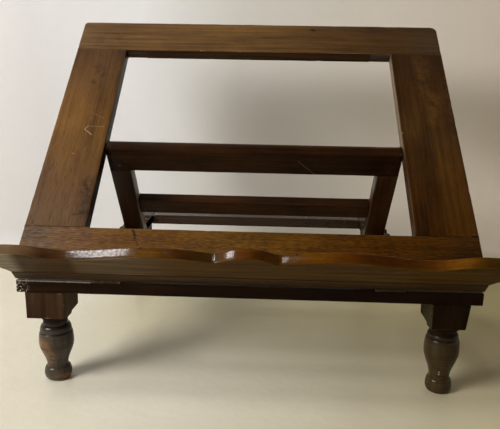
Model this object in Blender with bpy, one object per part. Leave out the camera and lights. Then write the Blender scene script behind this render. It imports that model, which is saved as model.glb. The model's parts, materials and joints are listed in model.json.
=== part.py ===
"""A folding table-top lectern in walnut: a framed book rest with a scalloped ledge, hinged to the front
rail of a low base on four turned feet, and held up by a framed strut whose feet sit in two notched racks.
Metres, +Z up, the reader at -Y. The origin is under the middle of the lectern, on the table."""

import math

import bmesh
import bpy
from mathutils import Vector

# Overall sizes
WIDTH = 0.468
SEAT = 0.0003
ARRIS = 0.0011
JOINT_ARRIS = 0.00025
OVERCUT = 0.0012
TURNING_SIDES = 24
PIN_SIDES = 16
SCREW_SIDES = 12
SMOOTH_ANGLE = 40

# Base: front rail, two racks and a rear rail, all of one board thickness
BASE_BOARD = 0.0131
FRONT_RAIL_DEPTH = 0.050
BASE_DEPTH = 0.315
REAR_RAIL_DEPTH = 0.025
RACK_SPACING = 0.304
RACK_WIDTH = 0.030
BASE_TENON_THICKNESS = 0.0055
RACK_TENON = 0.020
REAR_RAIL_TENON = 0.010
REAR_TENON_SHOULDER = 0.0033

# Legs: a block with a turned foot under it
LEG_HEIGHT = 0.0773
BLOCK_HEIGHT = 0.0267
BLOCK_DEPTH = 0.045
FRONT_BLOCK_WIDTH = 0.0383
REAR_BLOCK_WIDTH = 0.024
BLOCK_INSET = 0.0107
FOOT_SETBACK = 0.0222
SPIGOT_RADIUS = 0.0065
SPIGOT_IN_RAIL = 0.007

# Turned foot: radius and height of each part of the turning
SOLE_RADIUS = 0.0100
TOE_RADIUS = 0.0139
TOE_HEIGHT = 0.0062
TOE_TOP = 0.0150
WAIST_RADIUS = 0.0109
WAIST_HEIGHT = 0.0164
BULB_RADIUS = 0.0180
BULB_HEIGHT = 0.0446
SHOULDER_RADIUS = 0.0163
GROOVE_HEIGHT = 0.0577
GROOVE_DEPTH = 0.0008
BEAD_RADIUS = 0.0161
BEAD_HEIGHT = 0.0062
NECK_RADIUS = 0.0128
COVE_HEIGHT = 0.0046
COLLAR_RADIUS = 0.0171
COLLAR_HEIGHT = 0.0050
COLLAR_ROUND = 0.0016

# Book rest, measured along its slope from the hinged edge
TILT = math.radians(42.2)
REST_LENGTH = 0.3833
REST_BOARD = 0.0143
STILE_WIDTH = 0.0641
TOP_RAIL = 0.0538
BOTTOM_RAIL = 0.0549
REST_TENON_LENGTH = 0.030
REST_TENON_SHOULDER = 0.010
REST_TENON_THICKNESS = 0.005
TOP_CORNER_ROUND = 0.0062
TOP_EDGE_ROUND = 0.0021
FOOT_RELIEF = 0.0013

# Ledge: the scalloped front edge, as distances out from the face of the rest
LEDGE_THICKNESS = 0.012
LEDGE_ARRIS = 0.0014
CENTRE_LOBE = 0.037
CUSP = 0.027
CUSP_X = 0.0315
SIDE_SWELL = 0.034
SIDE_SWELL_X = 0.090
RECESS = 0.025
RECESS_X = 0.176
END_LOBE = 0.033
END_LOBE_X = 0.226
LEDGE_HALF_WIDTH = 0.256
LEDGE_END = 0.020

# Strut: a light frame that turns on two pins between the stiles of the rest
PIVOT_UP_REST = 0.1696
STRUT_SLOPE = math.radians(54.8)
STRUT_SIDE_GAP = 0.0005
STRUT_BOARD = 0.0143
STRUT_STILE = 0.025
STRUT_TOP_RAIL = 0.0369
STRUT_OPENING = 0.0538
STRUT_LOWER_RAIL = 0.0230
STRUT_END_ROUND = 0.0022
STRUT_LOWER_SETBACK = 0.002
STRUT_TENON = 0.019
STRUT_TENON_SHOULDER = 0.004
STRUT_TENON_THICKNESS = 0.005
PEG_RADIUS = 0.0022
PEG_FROM_SHOULDER = 0.008
PIVOT_PIN_RADIUS = 0.0026
PIVOT_PIN_IN_STILE = 0.018
PIVOT_PIN_IN_STRUT = 0.016

# Rack notches, cut square to the strut
NOTCH_FLOOR = 0.0048
NOTCH_PITCH = 0.024
NOTCHES_AHEAD = 2
NOTCH_MARGIN = 0.003

# Butt hinges
HINGE_CENTRE = 0.142
HINGE_LENGTH = 0.030
HINGE_SETBACK = 0.0004
KNUCKLES = 5
KNUCKLE_RADIUS = 0.0020
LEAF_THICKNESS = 0.0012
LEAF_WIDTH = 0.017
KNUCKLE_WRAP = 250
KNUCKLE_CLEARANCE = 0.0006
HINGE_PIN_RADIUS = 0.00055
HINGE_SCREW_SPACING = 0.018
HINGE_SCREW_FROM_AXIS = 0.0105
HINGE_SCREW_HEAD = 0.0023
HINGE_SCREW_SHANK = 0.0010
HINGE_SCREW_LENGTH = 0.009

# Screws that hold the ledge, driven from the back of the bottom rail
LEDGE_SCREW_X = (0.070, 0.205)
LEDGE_SCREW_HEAD = 0.0036
LEDGE_SCREW_SHANK = 0.0017
LEDGE_SCREW_LENGTH = 0.029
SCREW_POINT = 0.0004

# Worked out from the sizes above
SIDES = (("left", -1), ("right", 1))
RAIL_UNDERSIDE = LEG_HEIGHT + BLOCK_HEIGHT
BASE_TOP = RAIL_UNDERSIDE + BASE_BOARD
LEAF_OFFSET = KNUCKLE_RADIUS - LEAF_THICKNESS
HINGE_AXIS = Vector((0, HINGE_SETBACK, BASE_TOP + LEAF_OFFSET))
REST_BACK = LEAF_OFFSET
REST_FACE = REST_BACK + REST_BOARD
REST_OPENING_HALF = WIDTH / 2 - STILE_WIDTH
TOP_RAIL_START = REST_LENGTH - TOP_RAIL
PIVOT_IN_REST = Vector((0, PIVOT_UP_REST, REST_BACK + REST_BOARD / 2))
PIVOT_Y = HINGE_AXIS.y + PIVOT_IN_REST.y * math.cos(TILT) - PIVOT_IN_REST.z * math.sin(TILT)
PIVOT_Z = HINGE_AXIS.z + PIVOT_IN_REST.y * math.sin(TILT) + PIVOT_IN_REST.z * math.cos(TILT)
STRUT_HALF = REST_OPENING_HALF - STRUT_SIDE_GAP
STRUT_TOP = -STRUT_BOARD / 2
STRUT_SHOULDER = STRUT_TOP + STRUT_TOP_RAIL
NOTCH_Z = RAIL_UNDERSIDE + NOTCH_FLOOR
NOTCH_DROP = PIVOT_Z - NOTCH_Z - (STRUT_BOARD / 2 + SEAT) * math.cos(STRUT_SLOPE)
STRUT_REACH = NOTCH_DROP / math.sin(STRUT_SLOPE) - SEAT
NOTCH_Y = (PIVOT_Y + (STRUT_REACH + SEAT) * math.cos(STRUT_SLOPE)
           - (STRUT_BOARD / 2 + SEAT) * math.sin(STRUT_SLOPE))


# Helpers
def walnut(name, colour, roughness):
    return finish(name, colour, roughness, 0.0)


def finish(name, colour, roughness, metallic):
    """A plain Principled material in the colour of the real surface."""
    made = bpy.data.materials.new(name)
    made.use_nodes = True
    shader = made.node_tree.nodes["Principled BSDF"]
    shader.inputs["Base Color"].default_value = (*colour, 1)
    shader.inputs["Roughness"].default_value = roughness
    shader.inputs["Metallic"].default_value = metallic
    return made


def empty(name, parent, place, turn):
    """A frame that pieces are built in: its X is along a joint's axis."""
    made = bpy.data.objects.new(name, None)
    made.parent = parent
    made.location = place
    made.rotation_euler = (turn, 0, 0)
    bpy.context.scene.collection.objects.link(made)
    return made


def piece(name, bm, parent, material, smooth_angle=None):
    """A named object from a bmesh, with its faces turned outwards."""
    bmesh.ops.recalc_face_normals(bm, faces=bm.faces)
    mesh = bpy.data.meshes.new(name)
    bm.to_mesh(mesh)
    bm.free()
    made = bpy.data.objects.new(name, mesh)
    made.parent = parent
    bpy.context.scene.collection.objects.link(made)
    if material:
        mesh.materials.append(material)
    if smooth_angle:
        mesh.shade_smooth()
        mesh.set_sharp_from_angle(angle=math.radians(smooth_angle))
    return made


def cut(target, name, bm, parent):
    """Takes a hidden cutter's shape out of a piece."""
    cutter = piece(name, bm, parent, None)
    cutter.hide_render = True
    cutter.display_type = "WIRE"
    cut_with(target, cutter)
    return cutter


def cut_with(target, cutter):
    difference = target.modifiers.new(cutter.name, "BOOLEAN")
    difference.operation = "DIFFERENCE"
    difference.object = cutter


def loft(loops):
    """A closed solid through loops of equally many points, with flat ends."""
    bm = bmesh.new()
    rings = [[bm.verts.new(point) for point in loop] for loop in loops]
    count = len(rings[0])
    for near, far in zip(rings, rings[1:]):
        for i in range(count):
            j = (i + 1) % count
            bm.faces.new((near[i], near[j], far[j], far[i]))
    bm.faces.new(rings[0])
    bm.faces.new(rings[-1])
    return bm


def arc(centre_a, centre_b, radius, start, end, steps):
    """Points along an arc, in degrees, both ends included."""
    points = []
    for i in range(steps + 1):
        angle = math.radians(start + (end - start) * i / steps)
        points.append((centre_a + radius * math.cos(angle), centre_b + radius * math.sin(angle)))
    return points


def rounded_rectangle(low, high, radii, shrink=0.0):
    """Points round a rectangle, with its own radius at each corner, starting at low, low."""
    a0, b0 = low[0] + shrink, low[1] + shrink
    a1, b1 = high[0] - shrink, high[1] - shrink
    corners = ((a0, b0, 1, 1, 180), (a1, b0, -1, 1, 270), (a1, b1, -1, -1, 0), (a0, b1, 1, -1, 90))
    points = []
    for (a, b, side_a, side_b, start), full in zip(corners, radii):
        radius = max(full - shrink, JOINT_ARRIS / 2)
        points += arc(a + side_a * radius, b + side_b * radius, radius, start, start + 90, 2)
    return points


def box(low, high):
    bm = bmesh.new()
    corners = [[bm.verts.new((x, y, z)) for x, y in
                ((low[0], low[1]), (high[0], low[1]), (high[0], high[1]), (low[0], high[1]))]
               for z in (low[2], high[2])]
    for i in range(4):
        j = (i + 1) % 4
        bm.faces.new((corners[0][i], corners[0][j], corners[1][j], corners[1][i]))
    bm.faces.new(corners[0][::-1])
    bm.faces.new(corners[1])
    return bm


def bar_along_x(low, high, radii, end_round):
    """A board that runs across the lectern: an eased section in Y and Z, with eased ends."""
    def loop(x, shrink):
        return [(x, y, z) for y, z in rounded_rectangle(low[1:], high[1:], radii, shrink)]
    bulge = end_round * (1 - math.sqrt(0.5))
    ease = ((0.0, end_round), (bulge, bulge), (end_round, 0.0))
    loops = [loop(low[0] + along, shrink) for along, shrink in ease]
    loops += [loop(high[0] - along, shrink) for along, shrink in reversed(ease)]
    return loft(loops)


def tenoned_bar(body_low, body_high, axis, tenon_low, tenon_high, radii):
    """A board along X or Y with a tenon at each end; low and high give both boxes' corners."""
    def loop(low, high, along, corner_radii):
        if axis == 0:
            flat = rounded_rectangle(low[1:], high[1:], corner_radii)
            return [(along, a, b) for a, b in flat]
        flat = rounded_rectangle((low[0], low[2]), (high[0], high[2]), corner_radii)
        return [(a, along, b) for a, b in flat]
    tight = (JOINT_ARRIS,) * 4
    loops = []
    if tenon_low[axis] < body_low[axis]:
        loops.append(loop(tenon_low, tenon_high, tenon_low[axis], tight))
        loops.append(loop(tenon_low, tenon_high, body_low[axis], tight))
    loops.append(loop(body_low, body_high, body_low[axis], radii))
    loops.append(loop(body_low, body_high, body_high[axis], radii))
    if tenon_high[axis] > body_high[axis]:
        loops.append(loop(tenon_low, tenon_high, body_high[axis], tight))
        loops.append(loop(tenon_low, tenon_high, tenon_high[axis], tight))
    return loft(loops)


def prism_along_x(outline, start, end):
    return loft([[(x, y, z) for y, z in outline] for x in (start, end)])


def turned(profile, centre, axis, sides):
    """A solid of revolution: the profile holds (radius, distance along the axis) pairs."""
    across, other = {"X": ((0, 1, 0), (0, 0, 1)), "Z": ((1, 0, 0), (0, 1, 0))}[axis]
    along = Vector((1, 0, 0)) if axis == "X" else Vector((0, 0, 1))
    loops = []
    for radius, distance in profile:
        loop = []
        for i in range(sides):
            angle = math.tau * i / sides
            spoke = Vector(across) * math.cos(angle) + Vector(other) * math.sin(angle)
            loop.append(Vector(centre) + along * distance + spoke * radius)
        loops.append(loop)
    return loft(loops)


def half_wave(start, end, steps):
    """An S-curve between two (radius, distance) points, level at both, without its first point."""
    points = []
    for i in range(1, steps + 1):
        share = i / steps
        swing = (1 - math.cos(math.pi * share)) / 2
        points.append((start[0] + (end[0] - start[0]) * swing, start[1] + (end[1] - start[1]) * share))
    return points


def quarter_wave(start, end, steps, with_start):
    """A quarter of an ellipse from one (radius, distance) point to another, upright at the wider one."""
    points = [start] if with_start else []
    for i in range(1, steps + 1):
        angle = math.pi / 2 * i / steps
        if end[0] > start[0]:
            across, along = math.sin(angle), 1 - math.cos(angle)
        else:
            across, along = 1 - math.cos(angle), math.sin(angle)
        points.append((start[0] + (end[0] - start[0]) * across, start[1] + (end[1] - start[1]) * along))
    return points


def screw(name, head, shank, length, centre, side, parent, material, targets):
    """A countersunk wood screw along Z, head at centre, driven towards side (+1 up, -1 down)."""
    def profile(grow):
        slope = head - shank
        lift = SEAT if grow else 0.0
        return [(head + grow, -side * lift), (shank + grow, side * slope),
                (shank + grow, side * (length - shank)), (SCREW_POINT + grow, side * (length + lift))]
    hole = cut(targets[0], f"cut_{name}", turned(profile(SEAT), centre, "Z", SCREW_SIDES), parent)
    for target in targets[1:]:
        cut_with(target, hole)
    return piece(name, turned(profile(0.0), centre, "Z", SCREW_SIDES), parent, material, SMOOTH_ANGLE)


# Base
def foot_profile():
    """Sole to spigot: round toe, waist, bulb, incised groove, bead, cove, collar."""
    profile = quarter_wave((SOLE_RADIUS, 0.0), (TOE_RADIUS, TOE_HEIGHT), 3, True)
    profile += quarter_wave((TOE_RADIUS, TOE_HEIGHT), (WAIST_RADIUS, TOE_TOP), 3, False)
    profile.append((WAIST_RADIUS, WAIST_HEIGHT))
    profile += half_wave(profile[-1], (BULB_RADIUS, BULB_HEIGHT), 6)
    shoulder = (SHOULDER_RADIUS, GROOVE_HEIGHT - GROOVE_DEPTH)
    profile += quarter_wave((BULB_RADIUS, BULB_HEIGHT), shoulder, 3, False)
    profile.append((SHOULDER_RADIUS - GROOVE_DEPTH, GROOVE_HEIGHT))
    bead_start = GROOVE_HEIGHT + GROOVE_DEPTH
    profile.append((BEAD_RADIUS, bead_start))
    profile += quarter_wave((BEAD_RADIUS, bead_start), (NECK_RADIUS, bead_start + BEAD_HEIGHT), 3, False)
    collar_top = LEG_HEIGHT - SEAT
    collar = collar_top - COLLAR_HEIGHT
    profile.append((NECK_RADIUS, collar - COVE_HEIGHT))
    profile += half_wave(profile[-1], (COLLAR_RADIUS - COLLAR_ROUND, collar), 3)
    profile.append((COLLAR_RADIUS, collar + COLLAR_ROUND))
    profile.append((COLLAR_RADIUS, collar_top))
    profile.append((SPIGOT_RADIUS, collar_top))
    profile.append((SPIGOT_RADIUS, RAIL_UNDERSIDE + SPIGOT_IN_RAIL))
    return profile


def leg(place, side, centre_x, block_width, face_y, inward, carrier, base, walnut_base, walnut_leg):
    """One block and its turned foot; the foot's spigot runs through the block into its carrier."""
    near, far = sorted((face_y, face_y + inward * BLOCK_DEPTH))
    block = piece(f"leg_block_{place}_{side}",
                  bar_along_x((centre_x - block_width / 2, near, LEG_HEIGHT),
                              (centre_x + block_width / 2, far, RAIL_UNDERSIDE - SEAT),
                              (ARRIS, ARRIS, JOINT_ARRIS, JOINT_ARRIS), ARRIS),
                  base, walnut_base)
    centre = (centre_x, face_y + inward * FOOT_SETBACK, 0.0)
    piece(f"foot_{place}_{side}", turned(foot_profile(), centre, "Z", TURNING_SIDES), base, walnut_leg,
          SMOOTH_ANGLE)
    bore = [(SPIGOT_RADIUS + SEAT, LEG_HEIGHT - SEAT),
            (SPIGOT_RADIUS + SEAT, RAIL_UNDERSIDE + SPIGOT_IN_RAIL + SEAT)]
    cutter = cut(block, f"cut_spigot_{place}_{side}", turned(bore, centre, "Z", TURNING_SIDES), base)
    cut_with(carrier, cutter)


def notch_positions():
    """Where the notches lie along the rack, as many as fit between the two rails."""
    rise = BASE_TOP - NOTCH_Z
    ahead = rise / math.tan(STRUT_SLOPE)
    behind = rise * math.tan(STRUT_SLOPE)
    first = FRONT_RAIL_DEPTH + NOTCH_MARGIN
    last = BASE_DEPTH - REAR_RAIL_DEPTH - NOTCH_MARGIN
    steps_behind = int((last - behind - NOTCH_Y) / NOTCH_PITCH)
    places = [NOTCH_Y + NOTCH_PITCH * k for k in range(-NOTCHES_AHEAD, steps_behind + 1)]
    return [(y - ahead, y, y + behind) for y in places if y - ahead > first]


def rack_outline():
    """Side view of a rack: a tenon at the front, then a bar with notches along its top."""
    shoulder = FRONT_RAIL_DEPTH + SEAT
    middle = RAIL_UNDERSIDE + BASE_BOARD / 2
    outline = [(BASE_DEPTH, BASE_TOP), (BASE_DEPTH, RAIL_UNDERSIDE), (shoulder, RAIL_UNDERSIDE)]
    outline.append((shoulder, middle - BASE_TENON_THICKNESS / 2))
    outline.append((shoulder - RACK_TENON, middle - BASE_TENON_THICKNESS / 2))
    outline.append((shoulder - RACK_TENON, middle + BASE_TENON_THICKNESS / 2))
    outline.append((shoulder, middle + BASE_TENON_THICKNESS / 2))
    outline.append((shoulder, BASE_TOP))
    for front, bottom, back in notch_positions():
        outline += [(front, BASE_TOP), (bottom, NOTCH_Z), (back, BASE_TOP)]
    return outline


def build_base(base, walnut_base, walnut_leg):
    middle = RAIL_UNDERSIDE + BASE_BOARD / 2
    tenon_low, tenon_high = middle - BASE_TENON_THICKNESS / 2, middle + BASE_TENON_THICKNESS / 2
    front_rail = piece(
        "base_front_rail",
        bar_along_x((-WIDTH / 2, 0, RAIL_UNDERSIDE), (WIDTH / 2, FRONT_RAIL_DEPTH, BASE_TOP),
                    (ARRIS,) * 4, ARRIS),
        base, walnut_base)
    rear_front = BASE_DEPTH - REAR_RAIL_DEPTH
    rear_half = RACK_SPACING / 2 - SEAT
    rear_tenon_y = (rear_front + REAR_TENON_SHOULDER, BASE_DEPTH - REAR_TENON_SHOULDER)
    piece("base_rear_rail",
          tenoned_bar((-rear_half, rear_front, RAIL_UNDERSIDE), (rear_half, BASE_DEPTH, BASE_TOP), 0,
                      (-rear_half - REAR_RAIL_TENON, rear_tenon_y[0], tenon_low),
                      (rear_half + REAR_RAIL_TENON, rear_tenon_y[1], tenon_high),
                      (ARRIS,) * 4),
          base, walnut_base)
    for side, sign in SIDES:
        inner = sign * RACK_SPACING / 2
        outer = inner + sign * RACK_WIDTH
        rack = piece(f"rack_{side}", prism_along_x(rack_outline(), min(inner, outer), max(inner, outer)),
                     base, walnut_base)
        cut(front_rail, f"cut_rack_mortise_{side}",
            box((min(inner, outer) - SEAT, FRONT_RAIL_DEPTH - RACK_TENON - SEAT, tenon_low - SEAT),
                (max(inner, outer) + SEAT, FRONT_RAIL_DEPTH + OVERCUT, tenon_high + SEAT)), base)
        deep = inner + sign * REAR_RAIL_TENON
        shallow = inner - sign * OVERCUT
        cut(rack, f"cut_rear_mortise_{side}",
            box((min(deep, shallow), rear_tenon_y[0] - SEAT, tenon_low - SEAT),
                (max(deep, shallow), rear_tenon_y[1] + SEAT, tenon_high + SEAT)), base)
        front_x = sign * (WIDTH / 2 - BLOCK_INSET - FRONT_BLOCK_WIDTH / 2)
        leg("front", side, front_x, FRONT_BLOCK_WIDTH, 0.0, 1, front_rail, base, walnut_base, walnut_leg)
        rear_x = sign * (RACK_SPACING / 2 + RACK_WIDTH - REAR_BLOCK_WIDTH / 2)
        leg("rear", side, rear_x, REAR_BLOCK_WIDTH, BASE_DEPTH, -1, rack, base, walnut_base, walnut_leg)
    return front_rail


# Hinges
def leaf_outline():
    """End view of a leaf round the hinge axis: a plate below the axis, rolled up into its knuckle."""
    inner = KNUCKLE_RADIUS - LEAF_THICKNESS
    outline = [(LEAF_WIDTH, -KNUCKLE_RADIUS)]
    outline += arc(0.0, 0.0, KNUCKLE_RADIUS, -90, -90 - KNUCKLE_WRAP, 10)
    outline += arc(0.0, 0.0, inner, -90 - KNUCKLE_WRAP, -90, 8)
    outline.append((LEAF_WIDTH, -inner))
    return outline


def knuckle_gap(index):
    """Start and end along the hinge of one knuckle's place, with its running gaps."""
    share = HINGE_LENGTH / KNUCKLES
    start = -HINGE_LENGTH / 2 + share * index
    return start - SEAT / 2, start + share + SEAT / 2


def hinge_leaf(name, centre_x, origin, flip, first, frame, board, brass, screw_names):
    """One leaf let into a board, with its knuckles, recess and screws. flip is -1 above the axis."""
    outline = [(origin.y + y, origin.z + flip * z) for y, z in leaf_outline()]
    leaf = piece(name, prism_along_x(outline, centre_x - HINGE_LENGTH / 2, centre_x + HINGE_LENGTH / 2),
                 frame, brass, SMOOTH_ANGLE)
    reach = KNUCKLE_RADIUS + KNUCKLE_CLEARANCE
    for index in range(1 - first, KNUCKLES, 2):
        start, end = knuckle_gap(index)
        cut(leaf, f"cut_{name}_{index}",
            box((centre_x + start, origin.y - reach, origin.z - reach),
                (centre_x + end, origin.y + reach, origin.z + reach)), frame)
    recess = sorted((origin.z - flip * (KNUCKLE_RADIUS + SEAT), origin.z + flip * KNUCKLE_RADIUS))
    cut(board, f"cut_{name}_recess",
        box((centre_x - HINGE_LENGTH / 2 - SEAT, origin.y - reach, recess[0]),
            (centre_x + HINGE_LENGTH / 2 + SEAT, origin.y + LEAF_WIDTH + SEAT, recess[1])), frame)
    for offset, screw_name in zip((-0.5, 0.5), screw_names):
        head = (centre_x + offset * HINGE_SCREW_SPACING, origin.y + HINGE_SCREW_FROM_AXIS,
                origin.z - flip * LEAF_OFFSET)
        screw(screw_name, HINGE_SCREW_HEAD, HINGE_SCREW_SHANK, HINGE_SCREW_LENGTH, head, -flip,
              frame, brass, (leaf, board))


def build_hinges(base, rest, front_rail, bottom_rail, brass):
    for side, sign in SIDES:
        centre_x = sign * HINGE_CENTRE
        hinge_leaf(f"hinge_base_leaf_{side}", centre_x, HINGE_AXIS, 1, 1, base, front_rail, brass,
                   [f"hinge_base_screw_{side}_{end}" for end in ("outer", "inner")])
        hinge_leaf(f"hinge_rest_leaf_{side}", centre_x, Vector((0, 0, 0)), -1, 0, rest, bottom_rail, brass,
                   [f"hinge_rest_screw_{side}_{end}" for end in ("outer", "inner")])
        pin = [(HINGE_PIN_RADIUS, -HINGE_LENGTH / 2), (HINGE_PIN_RADIUS, HINGE_LENGTH / 2)]
        piece(f"hinge_pin_{side}", turned(pin, (centre_x, HINGE_AXIS.y, HINGE_AXIS.z), "X", SCREW_SIDES),
              base, brass, SMOOTH_ANGLE)


# Book rest
def ledge_half_outline():
    """The scalloped edge from the middle to the right end: lobe, cusp, swell, recess and end lobe."""
    points = []
    for i in range(8):
        x = CUSP_X * i / 8
        points.append((x, CUSP + (CENTRE_LOBE - CUSP) * math.cos(math.pi / 2 * x / CUSP_X)))
    points.append((CUSP_X, CUSP))
    for i in range(1, 8):
        share = i / 7
        points.append((CUSP_X + (SIDE_SWELL_X - CUSP_X) * share,
                       CUSP + (SIDE_SWELL - CUSP) * math.sin(math.pi / 2 * share)))
    for end in ((RECESS, RECESS_X), (END_LOBE, END_LOBE_X)):
        last = (points[-1][1], points[-1][0])
        points += [(x, out) for out, x in half_wave(last, end, 9)]
    for i in range(1, 7):
        angle = math.pi / 2 * i / 6
        points.append((END_LOBE_X + (LEDGE_HALF_WIDTH - END_LOBE_X) * math.sin(angle),
                       LEDGE_END + (END_LOBE - LEDGE_END) * math.cos(angle)))
    points.append((WIDTH / 2, 0.0))
    return points


def book_ledge(rest, walnut_ledge):
    """The scalloped board, standing out from the face of the bottom rail, its edges eased."""
    half = ledge_half_outline()
    outline = [(-x, out) for x, out in reversed(half[1:])] + half
    back = REST_FACE + SEAT
    bm = loft([[(x, y, back + out) for x, out in outline] for y in (0.0, LEDGE_THICKNESS)])
    rim = [edge for edge in bm.edges
           if abs(edge.verts[0].co.y - edge.verts[1].co.y) < SEAT
           and max(vert.co.z for vert in edge.verts) > back + SEAT]
    bmesh.ops.bevel(bm, geom=rim, offset=LEDGE_ARRIS, segments=2, profile=0.5, affect="EDGES",
                    clamp_overlap=True)
    return piece("book_ledge", bm, rest, walnut_ledge, SMOOTH_ANGLE)


def build_rest(rest, walnut_rest, walnut_ledge, steel):
    half = WIDTH / 2
    bottom_rail = piece(
        "rest_bottom_rail",
        bar_along_x((-half, 0.0, REST_BACK), (half, BOTTOM_RAIL, REST_FACE),
                    (ARRIS, JOINT_ARRIS, JOINT_ARRIS, JOINT_ARRIS), ARRIS),
        rest, walnut_rest)
    top_rail = piece(
        "rest_top_rail",
        bar_along_x((-half, TOP_RAIL_START, REST_BACK), (half, REST_LENGTH, REST_FACE),
                    (JOINT_ARRIS, ARRIS, TOP_EDGE_ROUND, JOINT_ARRIS), TOP_CORNER_ROUND),
        rest, walnut_rest)
    middle = (REST_BACK + REST_FACE) / 2
    tenon_half = REST_TENON_THICKNESS / 2
    for side, sign in SIDES:
        inner = sign * REST_OPENING_HALF
        low_x, high_x = min(inner, sign * half), max(inner, sign * half)
        start, end = BOTTOM_RAIL + SEAT, TOP_RAIL_START - SEAT
        tenon_x = (low_x + REST_TENON_SHOULDER, high_x - REST_TENON_SHOULDER)
        stile = piece(
            f"rest_stile_{side}",
            tenoned_bar((low_x, start, REST_BACK), (high_x, end, REST_FACE), 1,
                        (tenon_x[0], start - REST_TENON_LENGTH, middle - tenon_half),
                        (tenon_x[1], end + REST_TENON_LENGTH, middle + tenon_half), (ARRIS,) * 4),
            rest, walnut_rest)
        for rail, name, low_y, high_y in (
                (bottom_rail, "bottom", start - REST_TENON_LENGTH - SEAT, start + OVERCUT),
                (top_rail, "top", end - OVERCUT, end + REST_TENON_LENGTH + SEAT)):
            cut(rail, f"cut_{name}_mortise_{side}",
                box((tenon_x[0] - SEAT, low_y, middle - tenon_half - SEAT),
                    (tenon_x[1] + SEAT, high_y, middle + tenon_half + SEAT)), rest)
        relief = sorted((inner + sign * OVERCUT, inner - sign * (STRUT_STILE + STRUT_SIDE_GAP)))
        cut(top_rail, f"cut_foot_relief_{side}",
            box((relief[0], TOP_RAIL_START - FOOT_RELIEF, REST_BACK - FOOT_RELIEF),
                (relief[1], TOP_RAIL_START + FOOT_RELIEF, middle)), rest)
        pin_ends = sorted((inner + sign * PIVOT_PIN_IN_STILE,
                           inner - sign * (STRUT_SIDE_GAP + PIVOT_PIN_IN_STRUT)))
        centre = (0.0, PIVOT_IN_REST.y, PIVOT_IN_REST.z)
        pin = [(PIVOT_PIN_RADIUS, x) for x in pin_ends]
        piece(f"strut_pivot_pin_{side}", turned(pin, centre, "X", PIN_SIDES), rest, steel, SMOOTH_ANGLE)
        bore = [(PIVOT_PIN_RADIUS + SEAT, x) for x in sorted((pin_ends[0] - SEAT, pin_ends[1] + SEAT))]
        cut(stile, f"cut_pivot_{side}", turned(bore, centre, "X", PIN_SIDES), rest)
    ledge = book_ledge(rest, walnut_ledge)
    for side, sign in SIDES:
        for place, x in zip(("inner", "outer"), LEDGE_SCREW_X):
            screw(f"ledge_screw_{side}_{place}", LEDGE_SCREW_HEAD, LEDGE_SCREW_SHANK, LEDGE_SCREW_LENGTH,
                  (sign * x, LEDGE_THICKNESS / 2, REST_BACK), 1, rest, steel, (bottom_rail, ledge))
    return bottom_rail


# Strut
def build_strut(strut, walnut_strut):
    """The strut's own frame: Y runs from the pivot to its feet, Z to its back."""
    half_board = STRUT_BOARD / 2
    top_rail = piece(
        "strut_top_rail",
        bar_along_x((-STRUT_HALF, STRUT_TOP, -half_board), (STRUT_HALF, STRUT_SHOULDER, half_board),
                    (half_board, JOINT_ARRIS, JOINT_ARRIS, half_board), STRUT_END_ROUND),
        strut, walnut_strut)
    lower_start = STRUT_SHOULDER + STRUT_OPENING
    lower_half = STRUT_HALF - STRUT_STILE - SEAT
    lower_low, lower_high = -half_board + STRUT_LOWER_SETBACK, half_board
    lower_middle = (lower_low + lower_high) / 2
    tenon_half = STRUT_TENON_THICKNESS / 2
    tenon_y = (lower_start + STRUT_TENON_SHOULDER, lower_start + STRUT_LOWER_RAIL - STRUT_TENON_SHOULDER)
    lower_reach = lower_half + STRUT_TENON - STRUT_TENON_SHOULDER
    piece("strut_lower_rail",
          tenoned_bar((-lower_half, lower_start, lower_low),
                      (lower_half, lower_start + STRUT_LOWER_RAIL, lower_high), 0,
                      (-lower_reach, tenon_y[0], lower_middle - tenon_half),
                      (lower_reach, tenon_y[1], lower_middle + tenon_half), (ARRIS,) * 4),
          strut, walnut_strut)
    for side, sign in SIDES:
        outer = sign * STRUT_HALF
        inner = outer - sign * STRUT_STILE
        low_x, high_x = min(inner, outer), max(inner, outer)
        start = STRUT_SHOULDER + SEAT
        tenon_x = (low_x + STRUT_TENON_SHOULDER, high_x - STRUT_TENON_SHOULDER)
        stile = piece(
            f"strut_stile_{side}",
            tenoned_bar((low_x, start, -half_board), (high_x, STRUT_REACH, half_board), 1,
                        (tenon_x[0], start - STRUT_TENON, -tenon_half),
                        (tenon_x[1], STRUT_REACH, tenon_half), (ARRIS,) * 4),
            strut, walnut_strut)
        cut(top_rail, f"cut_strut_mortise_{side}",
            box((tenon_x[0] - SEAT, start - STRUT_TENON - SEAT, -tenon_half - SEAT),
                (tenon_x[1] + SEAT, start + OVERCUT, tenon_half + SEAT)), strut)
        mortise = sorted((sign * (lower_reach + SEAT), inner - sign * OVERCUT))
        cut(stile, f"cut_lower_mortise_{side}",
            box((mortise[0], tenon_y[0] - SEAT, lower_middle - tenon_half - SEAT),
                (mortise[1], tenon_y[1] + SEAT, lower_middle + tenon_half + SEAT)), strut)
        bore_ends = sorted((outer + sign * OVERCUT, outer - sign * (PIVOT_PIN_IN_STRUT + SEAT)))
        bore = [(PIVOT_PIN_RADIUS + SEAT, x) for x in bore_ends]
        cut(top_rail, f"cut_strut_pivot_{side}", turned(bore, (0, 0, 0), "X", PIN_SIDES), strut)
        peg_centre = ((inner + outer) / 2, STRUT_SHOULDER - PEG_FROM_SHOULDER, 0.0)
        peg = [(PEG_RADIUS, -half_board), (PEG_RADIUS, half_board)]
        piece(f"strut_peg_{side}", turned(peg, peg_centre, "Z", SCREW_SIDES), strut, walnut_strut,
              SMOOTH_ANGLE)
        peg_hole = [(PEG_RADIUS + SEAT, -half_board - SEAT), (PEG_RADIUS + SEAT, half_board + SEAT)]
        hole = cut(top_rail, f"cut_peg_{side}", turned(peg_hole, peg_centre, "Z", SCREW_SIDES), strut)
        cut_with(stile, hole)


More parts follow.
